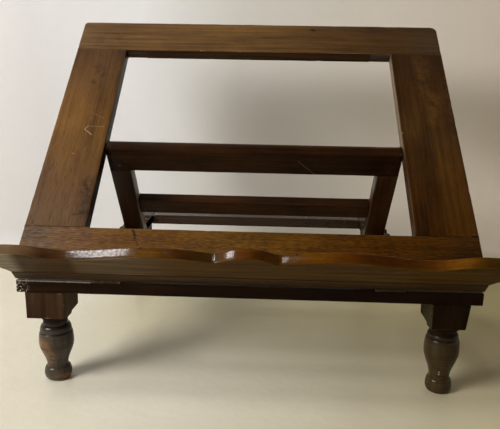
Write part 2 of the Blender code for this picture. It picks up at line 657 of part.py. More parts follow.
def stand_on_origin(root):
    """Moves the whole lectern so that the middle of its outline is over the origin, back to front."""
    bpy.context.view_layer.update()
    graph = bpy.context.evaluated_depsgraph_get()
    depths = []
    for item in bpy.context.scene.objects:
        if item.type == "MESH" and not item.hide_render:
            shaped = item.evaluated_get(graph)
            depths += [(item.matrix_world @ vert.co).y for vert in shaped.data.vertices]
    root.location.y = -(min(depths) + max(depths)) / 2
    bpy.context.view_layer.update()


def main():
    for item in list(bpy.data.objects):
        bpy.data.objects.remove(item)
    walnut_rest = walnut("walnut_rest", (0.20, 0.085, 0.032), 0.34)
    walnut_ledge = walnut("walnut_ledge", (0.28, 0.115, 0.040), 0.30)
    walnut_base = walnut("walnut_base", (0.085, 0.034, 0.016), 0.36)
    walnut_leg = walnut("walnut_leg", (0.105, 0.050, 0.028), 0.28)
    walnut_strut = walnut("walnut_strut", (0.060, 0.023, 0.012), 0.38)
    brass = finish("aged_brass", (0.22, 0.15, 0.07), 0.45, 1.0)
    steel = finish("dark_steel", (0.20, 0.19, 0.18), 0.45, 1.0)
    base = empty("lectern", None, (0, 0, 0), 0.0)
    rest = empty("book_rest_hinge", base, HINGE_AXIS, TILT)
    strut = empty("strut_pivot", rest, PIVOT_IN_REST, -(TILT + STRUT_SLOPE))
    front_rail = build_base(base, walnut_base, walnut_leg)
    bottom_rail = build_rest(rest, walnut_rest, walnut_ledge, steel)
    build_hinges(base, rest, front_rail, bottom_rail, brass)
    build_strut(strut, walnut_strut)
    stand_on_origin(base)


main()
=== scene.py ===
# %% [markdown]
# # A folding table lectern in walnut
# A framed book rest is hinged to a low base on turned feet, and a strut behind it stands in notched racks.
# The packed model already holds every piece at its place and size. This lesson dresses it: boards with
# worn arrises, turned feet, screws, and a walnut whose grain runs the right way in every board.
# The box of the packed model is kept, to see at the end that the dressed one didn't grow.

# %% Load the frame
import json
import math
import random
from types import SimpleNamespace

import bmesh
import bpy
from mathutils import Euler, Matrix, Vector, noise


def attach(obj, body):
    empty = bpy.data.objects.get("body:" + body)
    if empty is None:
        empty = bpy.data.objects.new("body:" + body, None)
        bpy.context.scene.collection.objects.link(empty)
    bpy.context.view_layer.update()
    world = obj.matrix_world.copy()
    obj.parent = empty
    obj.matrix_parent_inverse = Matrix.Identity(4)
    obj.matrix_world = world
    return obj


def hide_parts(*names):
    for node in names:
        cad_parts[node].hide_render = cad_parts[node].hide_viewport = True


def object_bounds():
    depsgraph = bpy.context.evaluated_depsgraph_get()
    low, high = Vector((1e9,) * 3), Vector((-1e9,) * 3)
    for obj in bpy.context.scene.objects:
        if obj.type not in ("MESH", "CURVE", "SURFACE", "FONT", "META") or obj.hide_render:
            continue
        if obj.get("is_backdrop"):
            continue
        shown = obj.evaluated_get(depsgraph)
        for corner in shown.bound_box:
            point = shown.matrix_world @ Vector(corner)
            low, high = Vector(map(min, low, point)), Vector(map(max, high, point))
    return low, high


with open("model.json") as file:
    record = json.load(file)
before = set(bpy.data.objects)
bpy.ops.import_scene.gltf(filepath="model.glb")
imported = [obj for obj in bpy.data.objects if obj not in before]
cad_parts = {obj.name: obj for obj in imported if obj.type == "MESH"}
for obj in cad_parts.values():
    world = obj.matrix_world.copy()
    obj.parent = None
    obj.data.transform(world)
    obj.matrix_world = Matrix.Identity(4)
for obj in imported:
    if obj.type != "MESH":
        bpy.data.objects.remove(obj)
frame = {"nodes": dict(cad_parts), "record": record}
cad_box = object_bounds()
record = frame["record"]
print("nodes", len(frame["nodes"]), "box", [[round(v, 4) for v in corner] for corner in cad_box])

# %% [markdown]
# ## Three frames to measure in
# The rest leans back and the strut leans the other way, so world coordinates say little about their boards.
# The record knows both axes: the rest turns about the hinge and the strut about its pins. Two matrices
# put the rest's length and the strut's length along a local Y, and `extent` measures any node in them.
# `SEAT` is the hair's breadth that stays open between two boards in a joint.

# %% The frames of base, rest and strut
QUARTER = math.pi / 2
SEAT = 0.0003
joints = {joint["name"]: joint for joint in record["behaviour"]["joints"]}
book_face = next(mount for mount in record["mounts"] if mount["name"] == "book_face_left")
TILT = math.atan2(-book_face["axis"][1], book_face["axis"][2])
SLOPE = math.radians(joints["strut_swing"]["range_deg"][1]) - TILT
HINGE = Vector(joints["book_rest_tilt"]["pos_m"])
PIVOT = Vector(joints["strut_swing"]["pos_m"])
BASE_FRAME = Matrix.Identity(4)
REST_FRAME = Matrix.Translation(HINGE) @ Matrix.Rotation(TILT, 4, "X")
STRUT_FRAME = Matrix.Translation(PIVOT) @ Matrix.Rotation(-SLOPE, 4, "X")


def extent(node, place=BASE_FRAME):
    """The lowest and the highest corner of a node, measured in one of the frames."""
    back = place.inverted()
    axes = list(zip(*[back @ vertex.co for vertex in frame["nodes"][node].data.vertices]))
    return Vector([min(axis) for axis in axes]), Vector([max(axis) for axis in axes])


print("rest tilts", round(math.degrees(TILT), 1), "strut slopes", round(math.degrees(SLOPE), 1))

# %% [markdown]
# ## The camera
# The photograph was taken by hand, close to the lectern and a little above it. Where the edges of the
# frame meet in the picture gives the camera's place, its pitch, its small yaw and roll, and its lens.
# Pitch, yaw and roll are turned one after the other, which is easier to read than a matrix of nine numbers.

# %% Place the camera
IMAGE_WIDTH = 500
FOCAL_PIXELS = 600
SENSOR = 36.0
CAMERA_FROM_BASE = Vector((0.0205, -0.5646, 0.2094))
PITCH, YAW, ROLL = math.radians(13.465), math.radians(-1.913), math.radians(1.030)


def linked(name, data):
    """A new object in the scene."""
    item = bpy.data.objects.new(name, data)
    bpy.context.scene.collection.objects.link(item)
    return item


base_low, base_high = extent("base_front_rail")
camera_place = Vector((0.0, base_low.y, base_high.z)) + CAMERA_FROM_BASE
camera = linked("reader", bpy.data.cameras.new("reader"))
camera.data.sensor_width = SENSOR
camera.data.lens = SENSOR * FOCAL_PIXELS / IMAGE_WIDTH
camera.matrix_world = (Matrix.Translation(camera_place) @ Matrix.Rotation(-YAW, 4, "Z")
                       @ Matrix.Rotation(QUARTER - PITCH, 4, "X") @ Matrix.Rotation(ROLL, 4, "Z"))
bpy.context.scene.camera = camera
bpy.context.scene.view_settings.view_transform = "Standard"
print("camera", [round(v, 3) for v in camera_place], "lens", round(camera.data.lens, 1))

# %% [markdown]
# ## Sums with sockets
# A finish is arithmetic on numbers that change over a surface. Adding and linking every Math node by hand
# hides that arithmetic, so `Wire` wraps one output socket and lets Python's operators add the nodes.
# `node` makes any other node, and the same class serves materials and Geometry Nodes. Colours are written
# as red, green and blue in linear light, and `plug` adds the fourth part that a colour socket wants.

# %% A socket that takes part in sums
class Wire:
    """An output of a node. Sums with it add Math nodes to its tree."""

    def __init__(self, tree, socket=None):
        self.tree = tree
        self.socket = socket

    def node(self, kind, settings=None, sockets=None, output=0):
        """Adds a node: first its settings, then the value or the wire of each socket."""
        made = self.tree.nodes.new(kind)
        for name, value in (settings or {}).items():
            if name == "stops":
                set_stops(made.color_ramp, value)
            else:
                setattr(made, name, value)
        for key, value in (sockets or {}).items():
            plug(made.inputs[key], value)
        return Wire(self.tree, made.outputs[output] if made.outputs else None)

    def math(self, operation, *values):
        return self.node("ShaderNodeMath", {"operation": operation}, dict(enumerate(values)))

    def __add__(self, other):
        return self.math("ADD", self, other)

    def __sub__(self, other):
        return self.math("SUBTRACT", self, other)

    def __rsub__(self, other):
        return self.math("SUBTRACT", other, self)

    def __mul__(self, other):
        return self.math("MULTIPLY", self, other)

    def __truediv__(self, other):
        return self.math("DIVIDE", self, other)

    def __pow__(self, power):
        return self.math("POWER", self, power)

    def __abs__(self):
        return self.math("ABSOLUTE", self)

    __radd__ = __add__
    __rmul__ = __mul__

    def least(self, other):
        return self.math("MINIMUM", self, other)

    def most(self, other):
        return self.math("MAXIMUM", self, other)

    def rise(self, low, high):
        """0 at low, 1 at high, and a smooth slope between them."""
        return self.node("ShaderNodeMapRange", {"interpolation_type": "SMOOTHSTEP"},
                         {"Value": self, "From Min": low, "From Max": high})

    def between(self, first, second):
        """The colour first where this wire is 0, second where it is 1."""
        return self.node("ShaderNodeMix", {"data_type": "RGBA"}, {0: self, 6: first, 7: second}, 2)

    def dyed(self, colour):
        """This colour seen through another."""
        return self.node("ShaderNodeMix", {"data_type": "RGBA", "blend_type": "MULTIPLY"},
                         {0: 1.0, 6: self, 7: colour}, 2)

    def ramp(self, *stops):
        """The colour that stops, each (position, colour), give this wire."""
        return self.node("ShaderNodeValToRGB", {"stops": stops}, {0: self})

    def mixed(self, first, second):
        """The shader first where this wire is 0, second where it is 1."""
        return self.node("ShaderNodeMixShader", None, {0: self, 1: first, 2: second})

    def bump(self, strength, distance, **more):
        """A normal that takes this wire for the surface's height; more may hold an earlier Normal."""
        return self.node("ShaderNodeBump", None,
                         {"Strength": strength, "Distance": distance, "Height": self, **more})

    def part(self, axis):
        return self.node("ShaderNodeSeparateXYZ", None, {0: self}, axis)

    def clouds(self, stretch, detail=2.0, roughness=0.5):
        """Noise on this vector, with so many lumps to the metre, or so many along each axis."""
        lumps = stretch if isinstance(stretch, tuple) else 3 * (stretch,)
        scaled = self.node("ShaderNodeVectorMath", {"operation": "MULTIPLY"}, {0: self, 1: lumps})
        return self.node("ShaderNodeTexNoise", None, {"Vector": scaled, "Scale": 1.0, "Detail": detail,
                                                      "Roughness": roughness}, "Fac")

    def then(self, kind, output=0, **sockets):
        """The geometry node that takes this wire next. Fill_Caps sets its Fill Caps, and so on."""
        values = {name.replace("_", " "): value for name, value in sockets.items()}
        return self.node("GeometryNode" + kind, None, {0: self, **values}, output)


def set_stops(ramp, stops):
    while len(ramp.elements) < len(stops):
        ramp.elements.new(1.0)
    for element, (position, colour) in zip(ramp.elements, stops):
        element.position = position
        element.color = (*colour, 1.0)


def plug(socket, value):
    """Links a wire to a socket, or sets a plain value on it."""
    if isinstance(value, Wire):
        value.tree.links.new(value.socket, socket)
    else:
        socket.default_value = (*value, 1.0) if socket.type == "RGBA" else value


def feed(shader, **values):
    """Plugs values into a shader: base_color goes to Base Color, and so on."""
    for name, value in values.items():
        plug(shader.inputs[name.replace("_", " ").title()], value)


def new_material(name):
    """A material, its Principled shader, and its Object coordinates as a wire."""
    material = bpy.data.materials.new(name)
    material.use_nodes = True
    tree = material.node_tree
    return material, tree.nodes["Principled BSDF"], Wire(tree).node("ShaderNodeTexCoord", output="Object")


print("a wire has", len([name for name in vars(Wire) if not name.startswith("__")]), "named methods")

# %% [markdown]
# ## Floor and light
# The lectern stands on a pale top, close to a wall that takes its shadow. Both are one sweep: a profile that
# is drawn out sideways. The wall is clear from behind, so that the lectern can be looked at from every side.
# Far away the floor fades into a haze. Only rays that look or mirror see it, so it casts no light.
# A large window lamp at the left throws the shadows to the right and back. Two small ones above, a skylight
# and a chink, put the highlights on the edge of the ledge.

# %% A sweep from floor to wall
SWEEP_HALF_WIDTH = 2.6
SWEEP_FRONT = -2.2
SWEEP_WALL = 0.30
SWEEP_ROUND = 0.05
SWEEP_TOP = 1.9
SWEEP_STEPS = 16


def pale_sweep():
    profile = [(SWEEP_FRONT, 0.0)]
    for i in range(SWEEP_STEPS + 1):
        angle = QUARTER * i / SWEEP_STEPS
        short, up = SWEEP_ROUND * (1 - math.sin(angle)), SWEEP_ROUND * (1 - math.cos(angle))
        profile.append((SWEEP_WALL - short, up))
    profile.append((SWEEP_WALL, SWEEP_TOP))
    corners = [(x, y, z) for y, z in profile for x in (-SWEEP_HALF_WIDTH, SWEEP_HALF_WIDTH)]
    mesh = bpy.data.meshes.new("sweep")
    mesh.from_pydata(corners, [], [(i, i + 1, i + 3, i + 2) for i in range(0, len(corners) - 2, 2)])
    mesh.shade_smooth()
    return mesh


sweep = linked("sweep", pale_sweep())
print("sweep from", SWEEP_FRONT, "to", SWEEP_WALL, "in", len(sweep.data.polygons), "strips")

# %% Painted light and shade on wall and top, and haze
# The wall is painted lighter and darker across: painted light and shade for how the lamps fall on it.
WALL_PAINTED_LIGHT = [(0.0, (0.70, 0.69, 0.69)), (0.13, (0.67, 0.66, 0.67)), (0.30, (0.82, 0.82, 0.84)),
            (0.47, (0.74, 0.72, 0.675)), (0.62, (0.83, 0.78, 0.71)), (0.72, (0.92, 0.845, 0.76)),
            (1.0, (1.0, 0.88, 0.75))]
TABLE, TABLE_MOTTLE = (0.835, 0.783, 0.638), (0.93, 0.876, 0.73)
# Painted shade on the top: darker and yellower to the right, and a painted shadow that darkens it
# from the front back under the lectern, held at one level on the left.
TABLE_PAINTED_SHADE_RIGHT = (0.673, 0.603, 0.383)
TABLE_LEFT_PAINTED_SHADE = (0.85, 0.845, 0.835)
TABLE_PAINTED_SHADOW = [(0.13, (1.0, 1.0, 1.0)), (0.42, (0.84, 0.835, 0.81)), (0.87, (0.76, 0.745, 0.62))]
TABLE_FRONT, TABLE_DEPTH = -0.2, 0.3
WALL_STARTS = (0.004, 0.035)
RIGHT_SIDE, LEFT_SIDE = (-0.1, 0.35), (-0.26, -0.14)
HAZE = (0.70, 0.66, 0.57)
HAZE_STARTS, HAZE_IS_FULL = 0.60, 1.15


def looking(start):
    """1 for the rays that see a thing, 0 for the rays that light it."""
    path = start.node("ShaderNodeLightPath").socket.node
    camera_ray, glossy, through = [Wire(start.tree, path.outputs[f"Is {kind} Ray"])
                                   for kind in ("Camera", "Glossy", "Transmission")]
    return camera_ray.most(glossy).most(through)


def sweep_material():
    material, shader, place = new_material("pale_sweep")
    across, back = place.part("X"), place.part("Y")
    mottle = place.clouds(7, 4) - 0.5
    plaster = place.clouds(60, 3)
    wall = place.part("Z").rise(*WALL_STARTS)
    # Painted shade to the right, and a painted shadow under and behind the lectern.
    table = across.rise(*RIGHT_SIDE).between((mottle + 0.5).between(TABLE, TABLE_MOTTLE), TABLE_PAINTED_SHADE_RIGHT)
    painted_table_shadow = ((back - TABLE_FRONT) / TABLE_DEPTH).ramp(*TABLE_PAINTED_SHADOW)
    table = table.dyed(across.rise(*LEFT_SIDE).between(TABLE_LEFT_PAINTED_SHADE, painted_table_shadow))
    # Painted light and shade across the wall.
    painted_wall_light = (across + mottle * 0.1 + 0.5).ramp(*WALL_PAINTED_LIGHT)
    feed(shader, base_color=wall.between(table, painted_wall_light), roughness=0.42 + mottle * 0.2 + wall * 0.3,
         normal=plaster.bump(0.25, 0.002))
    away = (across ** 2 + back ** 2) ** 0.5
    glow = place.node("ShaderNodeEmission", None, {"Color": HAZE})
    hazy = away.rise(HAZE_STARTS, HAZE_IS_FULL) * looking(place)
    lit = hazy.mixed(Wire(place.tree, shader.outputs[0]), glow)
    rays = place.node("ShaderNodeLightPath", output="Is Camera Ray")
    behind = place.node("ShaderNodeNewGeometry", output="Backfacing")
    seen = (rays * behind).mixed(lit, place.node("ShaderNodeBsdfTransparent"))
    plug(place.tree.nodes["Material Output"].inputs["Surface"], seen)
    return material


sweep.data.materials.append(sweep_material())
sweep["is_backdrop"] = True
print("haze from", HAZE_STARTS, "m on")

# %% A dim room and three lamps
ROOM_LIGHT = (1.0, 0.86, 0.50)
ROOM_STRENGTH = 0.06


def soft_lamp(name, place, aim, size, power, colour):
    lamp = linked(name, bpy.data.lights.new(name, "AREA"))
    lamp.data.shape = "DISK"
    lamp.data.size = size
    lamp.data.energy = power
    lamp.data.color = colour
    lamp.location = place
    lamp.rotation_euler = (Vector(aim) - Vector(place)).to_track_quat("-Z", "Y").to_euler()


room = bpy.data.worlds.new("room")
room.use_nodes = True
bpy.context.scene.world = room
background = room.node_tree.nodes["Background"]
feed(background, color=ROOM_LIGHT, strength=ROOM_STRENGTH)
dim = Wire(room.node_tree, background.outputs[0])
horizon = dim.node("ShaderNodeTexCoord", output="Generated").part("Z").rise(0.45, 0.15)
haze = dim.node("ShaderNodeBackground", None, {"Color": HAZE})
plug(room.node_tree.nodes["World Output"].inputs["Surface"], (horizon * looking(dim)).mixed(dim, haze))
soft_lamp("window", (-1.08, -0.80, 0.90), (-0.05, -0.02, 0.12), 0.70, 18.7, (1.0, 0.98, 0.95))
soft_lamp("skylight", (-0.67, -0.23, 1.10), (-0.05, -0.12, 0.15), 0.24, 2.6, (1.0, 0.97, 0.95))
soft_lamp("chink", (-0.23, -0.335, 1.10), (0.0, -0.12, 0.15), 0.14, 0.35, (1.0, 0.97, 0.95))
print("lamps", [lamp.name for lamp in bpy.data.lights], "room light", ROOM_STRENGTH)

# %% [markdown]
# ## Walnut
# Walnut is streaky: growth rings cut lengthwise, long darker fibres, short open pores, and wax and dirt that
# settle unevenly. A solid pattern in object coordinates runs through the board like the real thing, so its
# face, edge and end agree. A Mapping node turns each board's length onto X, and moves it to another
# part of the tree. A run of colours may also dye a board from end to end: partly its own uneven colour,
# and partly painted light and shade for how the light falls along it. The arrises, which carry an
# attribute made with the board, rub through to lighter wood.
# What only one board has comes as a step: a function that changes its colour, relief, gloss or coat.

# %% The finish of one board
PITH_SIDE = 0.030
PITH_DEPTH = 0.075
RING_GAP = 0.0064
RING_DRIFT = 0.040
# A dark colour for dirt, and also for painted shade at the top of each foot, under its block.
DIRT_AND_SHADE = (0.010, 0.005, 0.002)
ALONG_REST_RAIL = (-TILT, 0.0, 0.0)
ALONG_REST_STILE = (-TILT, 0.0, -QUARTER)
ALONG_STRUT_RAIL = (SLOPE, 0.0, 0.0)
ALONG_STRUT_STILE = (SLOPE, 0.0, -QUARTER)
ALONG_BASE_RAIL = (0.0, 0.0, 0.0)
ALONG_RACK = (0.0, 0.0, -QUARTER)
UPRIGHT = (0.0, QUARTER, 0.0)


def shaded(colour, share):
    """A deeper or a brighter colour."""
    return tuple(value * share for value in colour)


class Look(SimpleNamespace):
    """A finish in the making: its wood, relief, gloss and coat, which steps may change."""

    def lay_colour(self, share, colour):
        """Another colour, as strong as share says: stains and wear, and painted light and shade."""
        self.wood = share.between(self.wood, colour)


def run_along(grain, turn, shift, node, stops):
    """Colours along a node's own grain, from its start at 0 to its end at 1."""
    turned_over = Euler(turn).to_matrix()
    along = [(turned_over @ vertex.co).x for vertex in frame["nodes"][node].data.vertices]
    return ((grain.part("X") - shift[0] - min(along)) / (max(along) - min(along))).ramp(*stops)


def walnut(name, turn, shift, tones, rubbed, roughness=0.38, shine=0.14, coat=0.0, run=None, steps=(),
           figure=0.05, streak=1.0, fleck=0.2, coat_haze=0.14):
    """Waxed walnut whose length lies along X once turned; tones are its dark, middle and light streaks."""
    material, shader, place = new_material(name)
    grain = place.node("ShaderNodeMapping", None, {"Vector": place, "Location": shift, "Rotation": turn})
    drift = grain.clouds((2.4, 13, 13), 3)
    radius = ((grain.part("Y") + PITH_SIDE) ** 2 + (grain.part("Z") + PITH_DEPTH) ** 2) ** 0.5
    rings = (radius + drift * RING_DRIFT) / RING_GAP
    ring = rings.math("FRACT", rings)
    latewood = ring.rise(0.25, 0.9) * (1 - ring.rise(0.93, 1.0))
    fibres = grain.clouds((5, 230, 230), 4, 0.62)
    hairs = grain.clouds((24, 800, 800), 2)
    flecks = grain.clouds((150, 850, 850), 2)
    pores = grain.clouds((110, 900, 900), 1).rise(0.60, 0.72) * streak
    blotch = grain.clouds((7, 18, 18), 4, 0.6)
    smudge = grain.clouds((16, 38, 38), 4, 0.6).rise(0.60, 0.76)
    streaks = (fibres - 0.5) * 0.75 + (hairs - 0.5) * 0.35 + (flecks - 0.5) * fleck
    tone = 0.5 + (blotch - 0.5) * 1.5 + streaks * streak - latewood * figure
    arris, chip = [place.node("ShaderNodeAttribute", {"attribute_name": name}, None, "Fac")
                   for name in ("arris", "chip")]
    rub = (arris * (0.15 + grain.clouds((26, 60, 60), 3))).rise(0.42, 0.85)
    look = Look(wood=tone.ramp(*zip((0.15, 0.5, 0.9), tones)), coat=coat,
                relief=fibres * 0.5 + hairs * 0.25 - pores * 0.8,
                gloss=roughness + (blotch - 0.5) * 0.16 + pores * 0.15 + smudge * 0.14 - rub * 0.06)
    if run:
        look.wood = look.wood.dyed(run_along(grain, turn, shift, *run))
    look.lay_colour(pores * 0.28, DIRT_AND_SHADE)
    look.lay_colour(smudge * 0.40, DIRT_AND_SHADE)
    look.lay_colour(rub * 0.6, rubbed)
    look.lay_colour((chip * (0.4 + hairs)).rise(0.45, 0.6), shaded(rubbed, 1.5))
    for step in steps:
        step(place, look)
    hand_planed = grain.clouds((9, 26, 26), 2).bump(0.5, 0.0012)
    feed(shader, base_color=look.wood, roughness=look.gloss, coat_weight=look.coat,
         coat_roughness=coat_haze, normal=look.relief.bump(0.6, 0.0003, Normal=hand_planed))
    shader.inputs["Specular IOR Level"].default_value = shine
    return material


print("rings every", RING_GAP * 1000, "mm")

# %% [markdown]
# ## Boards
# A planed board is an outline with thickness whose edges have lost their sharpness. A Bevel modifier would
# round every edge alike. Here the outline is walked in small steps and the rounding wanders with
# noise, opens into a nick now and then, and stays tight where two boards meet. The same walk marks the
# arris vertices with an attribute, for the finish to rub through.

# %% Walk round an outline
STEP = 0.002
CORNER_STEPS = 5
STEEPEST = 0.4


def rounded_path(corners):
    """An outline's corners, each (a, b, radius), with arcs where a radius is given."""
    path = []
    for index, (a, b, radius) in enumerate(corners):
        corner = Vector((a, b))
        if not radius:
            path.append(corner)
            continue
        before = (Vector(corners[index - 1][:2]) - corner).normalized()
        after = (Vector(corners[(index + 1) % len(corners)][:2]) - corner).normalized()
        half = before.angle(after) / 2
        centre = corner + (before + after).normalized() * (radius / math.sin(half))
        start = corner + before * (radius / math.tan(half)) - centre
        end = corner + after * (radius / math.tan(half)) - centre
        first = math.atan2(start.y, start.x)
        turn = math.remainder(math.atan2(end.y, end.x) - first, math.tau)
        for i in range(CORNER_STEPS + 1):
            angle = first + turn * i / CORNER_STEPS
            path.append(centre + Vector((math.cos(angle), math.sin(angle))) * radius)
    return path


def rectangle(low, high, *radii):
    """The path of a rectangle with a radius for each corner, anticlockwise from the lowest."""
    corners = ((low.x, low.y), (high.x, low.y), (high.x, high.y), (low.x, high.y))
    return rounded_path([(a, b, radius) for (a, b), radius in zip(corners, radii)])


def spaced(path):
    """The same closed path, in steps of about STEP, running anticlockwise."""
    points = []
    for index, point in enumerate(path):
        following = path[(index + 1) % len(path)]
        count = max(1, round((following - point).length / STEP))
        points += [point.lerp(following, i / count) for i in range(count)]
    area = sum(p.x * q.y - q.x * p.y for p, q in zip(points, points[1:] + points[:1]))
    return points if area > 0 else points[::-1]


def ways_in(points):
    """For each point of an anticlockwise loop, the way in, as long as parallel edges need."""
    ways = []
    for index, point in enumerate(points):
        ahead = (points[(index + 1) % len(points)] - point).normalized()
        behind = (point - points[index - 1]).normalized()
        way = Vector((-ahead.y - behind.y, ahead.x + behind.x)).normalized()
        ways.append(way / max(STEEPEST, way.dot(Vector((-ahead.y, ahead.x)))))
    return ways


print("a board's edge is walked every", STEP * 1000, "mm")

# %% Round its arrises
ARRIS_STEPS = 4
FADE = 0.003
TIGHT = 0.0003
WORN_UP_TO = 0.0016


def arris_radii(points, level, arris, chance, nicks):
    """The rounding at each point of one face's edge, and how much of it is a nick."""
    hits = [(chance.randrange(len(points)), chance.uniform(0.4, 1.0), chance.uniform(0.0012, 0.004))
            for _ in range(nicks)]
    radii, chips = [], []
    for point in points:
        wander = noise.noise(Vector((point.x * 60, point.y * 60, level * 900)))
        dent = max([depth * math.exp(-((point - points[at]).length / reach) ** 2)
                    for at, depth, reach in hits], default=0.0)
        radius = arris(point)
        radii.append(radius * (1 + 0.30 * wander * min(1.0, WORN_UP_TO / radius) ** 2 + 0.8 * dent))
        chips.append(dent)
    return radii, chips


def worn_share(radius):
    """Tight edges lie in joints and stay dark; wide roundings wear less than narrow ones."""
    return min(1.0, max(0.0, radius / TIGHT - 1.5)) * min(1.0, WORN_UP_TO / radius)


def edge_rows():
    """Face to side, as (inset in radii, further inset, drop in radii, further drop, wear)."""
    rows = [(1.0, FADE, 0.0, 0.0, 0.0)]
    for i in range(ARRIS_STEPS + 1):
        angle = QUARTER * i / ARRIS_STEPS
        rows.append((1 - math.sin(angle), 0.0, 1 - math.cos(angle), 0.0, 0.55 + 0.45 * math.sin(2 * angle)))
    return rows + [(0.0, 0.0, 1.0, FADE, 0.0)]


print("an arris is rounded in", ARRIS_STEPS, "steps")

# %% Close it to a slab
MERGE = 0.00001
SHARP = math.radians(40)


def meshed(name, bm):
    """A mesh of what a bmesh holds, which is freed."""
    mesh = bpy.data.meshes.new(name)
    bm.to_mesh(mesh)
    bm.free()
    return mesh


def smoothed(mesh):
    """The mesh, shaded smooth but for its sharp edges."""
    mesh.shade_smooth()
    mesh.set_sharp_from_angle(angle=SHARP)
    return mesh


def slab(path, low, high, arris, place, seed, fence=None, nicks=6):
    """A board of one outline between two levels. A fence, (low, high), keeps a rectangle's insets in."""
    points = spaced(path)
    ways = ways_in(points)
    chance = random.Random(seed)
    bm = bmesh.new()
    worn = bm.verts.layers.float.new("arris")
    chipped = bm.verts.layers.float.new("chip")
    loops = []
    for level, inwards in ((low, 1), (high, -1)):
        radii, chips = arris_radii(points, level, arris, chance, nicks)
        rows = []
        for inset, further, drop, deeper, wear in edge_rows():
            row = []
            for point, way, radius, dent in zip(points, ways, radii, chips):
                deep = inset * radius + further
                spot = point + way * deep
                if fence:
                    spot = Vector([min(max(spot[i], fence[0][i] + deep), fence[1][i] - deep) for i in (0, 1)])
                height = min(drop * radius + deeper, (high - low) / 2)
                vertex = bm.verts.new(place @ Vector((spot.x, spot.y, level + inwards * height)))
                vertex[worn] = wear * worn_share(radius)
                vertex[chipped] = dent * wear
                row.append(vertex)
            rows.append(row)
        loops += rows if inwards > 0 else rows[::-1]
    for below, above in zip(loops, loops[1:]):
        for i in range(len(points)):
            j = (i + 1) % len(points)
            bm.faces.new((below[i], below[j], above[j], above[i]))
    bm.faces.new(loops[0][::-1])
    bm.faces.new(loops[-1])
    bmesh.ops.remove_doubles(bm, verts=bm.verts, dist=MERGE)
    bmesh.ops.dissolve_degenerate(bm, edges=bm.edges, dist=MERGE)
    return smoothed(meshed("slab", bm))


print("a slab has", 2 * len(edge_rows()), "rows of points")

# %% Carve a board and make it a piece
SOFT = 0.0008
CRISP = 0.0004
NEAR = 0.001
OF_BASE = (BASE_FRAME, "base", "walnut_base")
OF_REST = (REST_FRAME, "book_rest", "walnut_rest")
OF_STRUT = (STRUT_FRAME, "strut", "walnut_strut")


def plain_mesh(item):
    """An object's mesh with its modifiers applied. The object is taken away."""
    graph = bpy.context.evaluated_depsgraph_get()
    mesh = bpy.data.meshes.new_from_object(item.evaluated_get(graph), preserve_all_data_layers=True,
                                           depsgraph=graph)
    item.modifiers.clear()
    bpy.data.objects.remove(item)
    return mesh


def carved(mesh, cuts, place):
    """The mesh less some boxes, each (low, high) in the board's own frame."""
    bm = bmesh.new()
    for low, high in cuts:
        for vertex in bmesh.ops.create_cube(bm, size=1.0)["verts"]:
            share = vertex.co + Vector((0.5, 0.5, 0.5))
            vertex.co = place @ Vector([low[i] + (high[i] - low[i]) * share[i] for i in range(3)])
    blank = linked("blank", mesh)
    chisel = linked("chisel", meshed("tool", bm))
    blank.modifiers.new("carve", "BOOLEAN").object = chisel
    result = plain_mesh(blank)
    bpy.data.objects.remove(chisel)
    return result


def dress(name, mesh, body, slot, material, *nodes):
    """Makes a finished mesh a piece that rides on a body and stands for its nodes."""
    mesh.name = name
    mesh.materials.clear()
    mesh.materials.append(material)
    dressed = linked(name, mesh)
    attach(dressed, body)
    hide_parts(*nodes)
    print(name, "of", len(nodes), "nodes,", len(mesh.polygons), "faces")


def board(name, low, high, family, arris, seed, material, corners=4 * (SOFT,), nicks=6, cuts=()):
    """A rectangular board, and what is carved out of it. Its family is its frame, body and slot."""
    place, body, slot = family
    mesh = slab(rectangle(low, high, *corners), low.z, high.z, arris, place, seed, (low, high), nicks)
    if cuts:
        mesh = carved(mesh, cuts, place)
    dress(f"worn_{name}", mesh, body, slot, material, name)


def leaf_beds(leaf, place, front, floor, top):
    """A shallow bed for each of two hinge leaves, open at the front."""
    beds = []
    for side in ("left", "right"):
        low, high = extent(f"{leaf}_{side}", place)
        beds.append(((low.x - SEAT, front, floor), (high.x + SEAT, high.y + SEAT, top)))
    return beds


print("boards belong to", [family[1] for family in (OF_BASE, OF_REST, OF_STRUT)])

# %% [markdown]
# ## Marks of use
# Every board of the rest has been knocked about: a pale scratch, dents, stains, a crack by the ledge. Each is
# a line from one point to another on the rest's face, so the finish measures how far it is from that line.
# A mark is only skin deep, so it fades out below the face. A step may also paint shade onto a side that
# little light reaches, and light onto a side that faces the lamps, again only skin deep.

# %% Lines on a face, and painted light and shade on a side
rest_low, rest_high = extent("rest_bottom_rail", REST_FRAME)
FACE = rest_high.z
SKIN = 0.0012
RAGGED = 0.0012
LIE_OF_REST = (ALONG_REST_RAIL, HINGE)
PALE = (0.42, 0.30, 0.17)
GOLDEN = (0.145, 0.068, 0.013)


def line_distance(across, along, start, end):
    """How far a place on the face is from a line between two points on it."""
    run = Vector(end) - Vector(start)
    reach = ((across - start[0]) * run.x + (along - start[1]) * run.y) / run.length_squared
    reach = reach.most(0.0).least(1.0)
    return ((across - (reach * run.x + start[0])) ** 2 + (along - (reach * run.y + start[1])) ** 2) ** 0.5


def measured(place, lie):
    """Across, along and out of a leaning board, as wires. Its lie is a turn and an origin."""
    moved = place.node("ShaderNodeVectorMath", {"operation": "SUBTRACT"}, {0: place, 1: lie[1]})
    local = place.node("ShaderNodeMapping", None, {"Vector": moved, "Rotation": lie[0]})
    return [local.part(axis) for axis in "XYZ"]


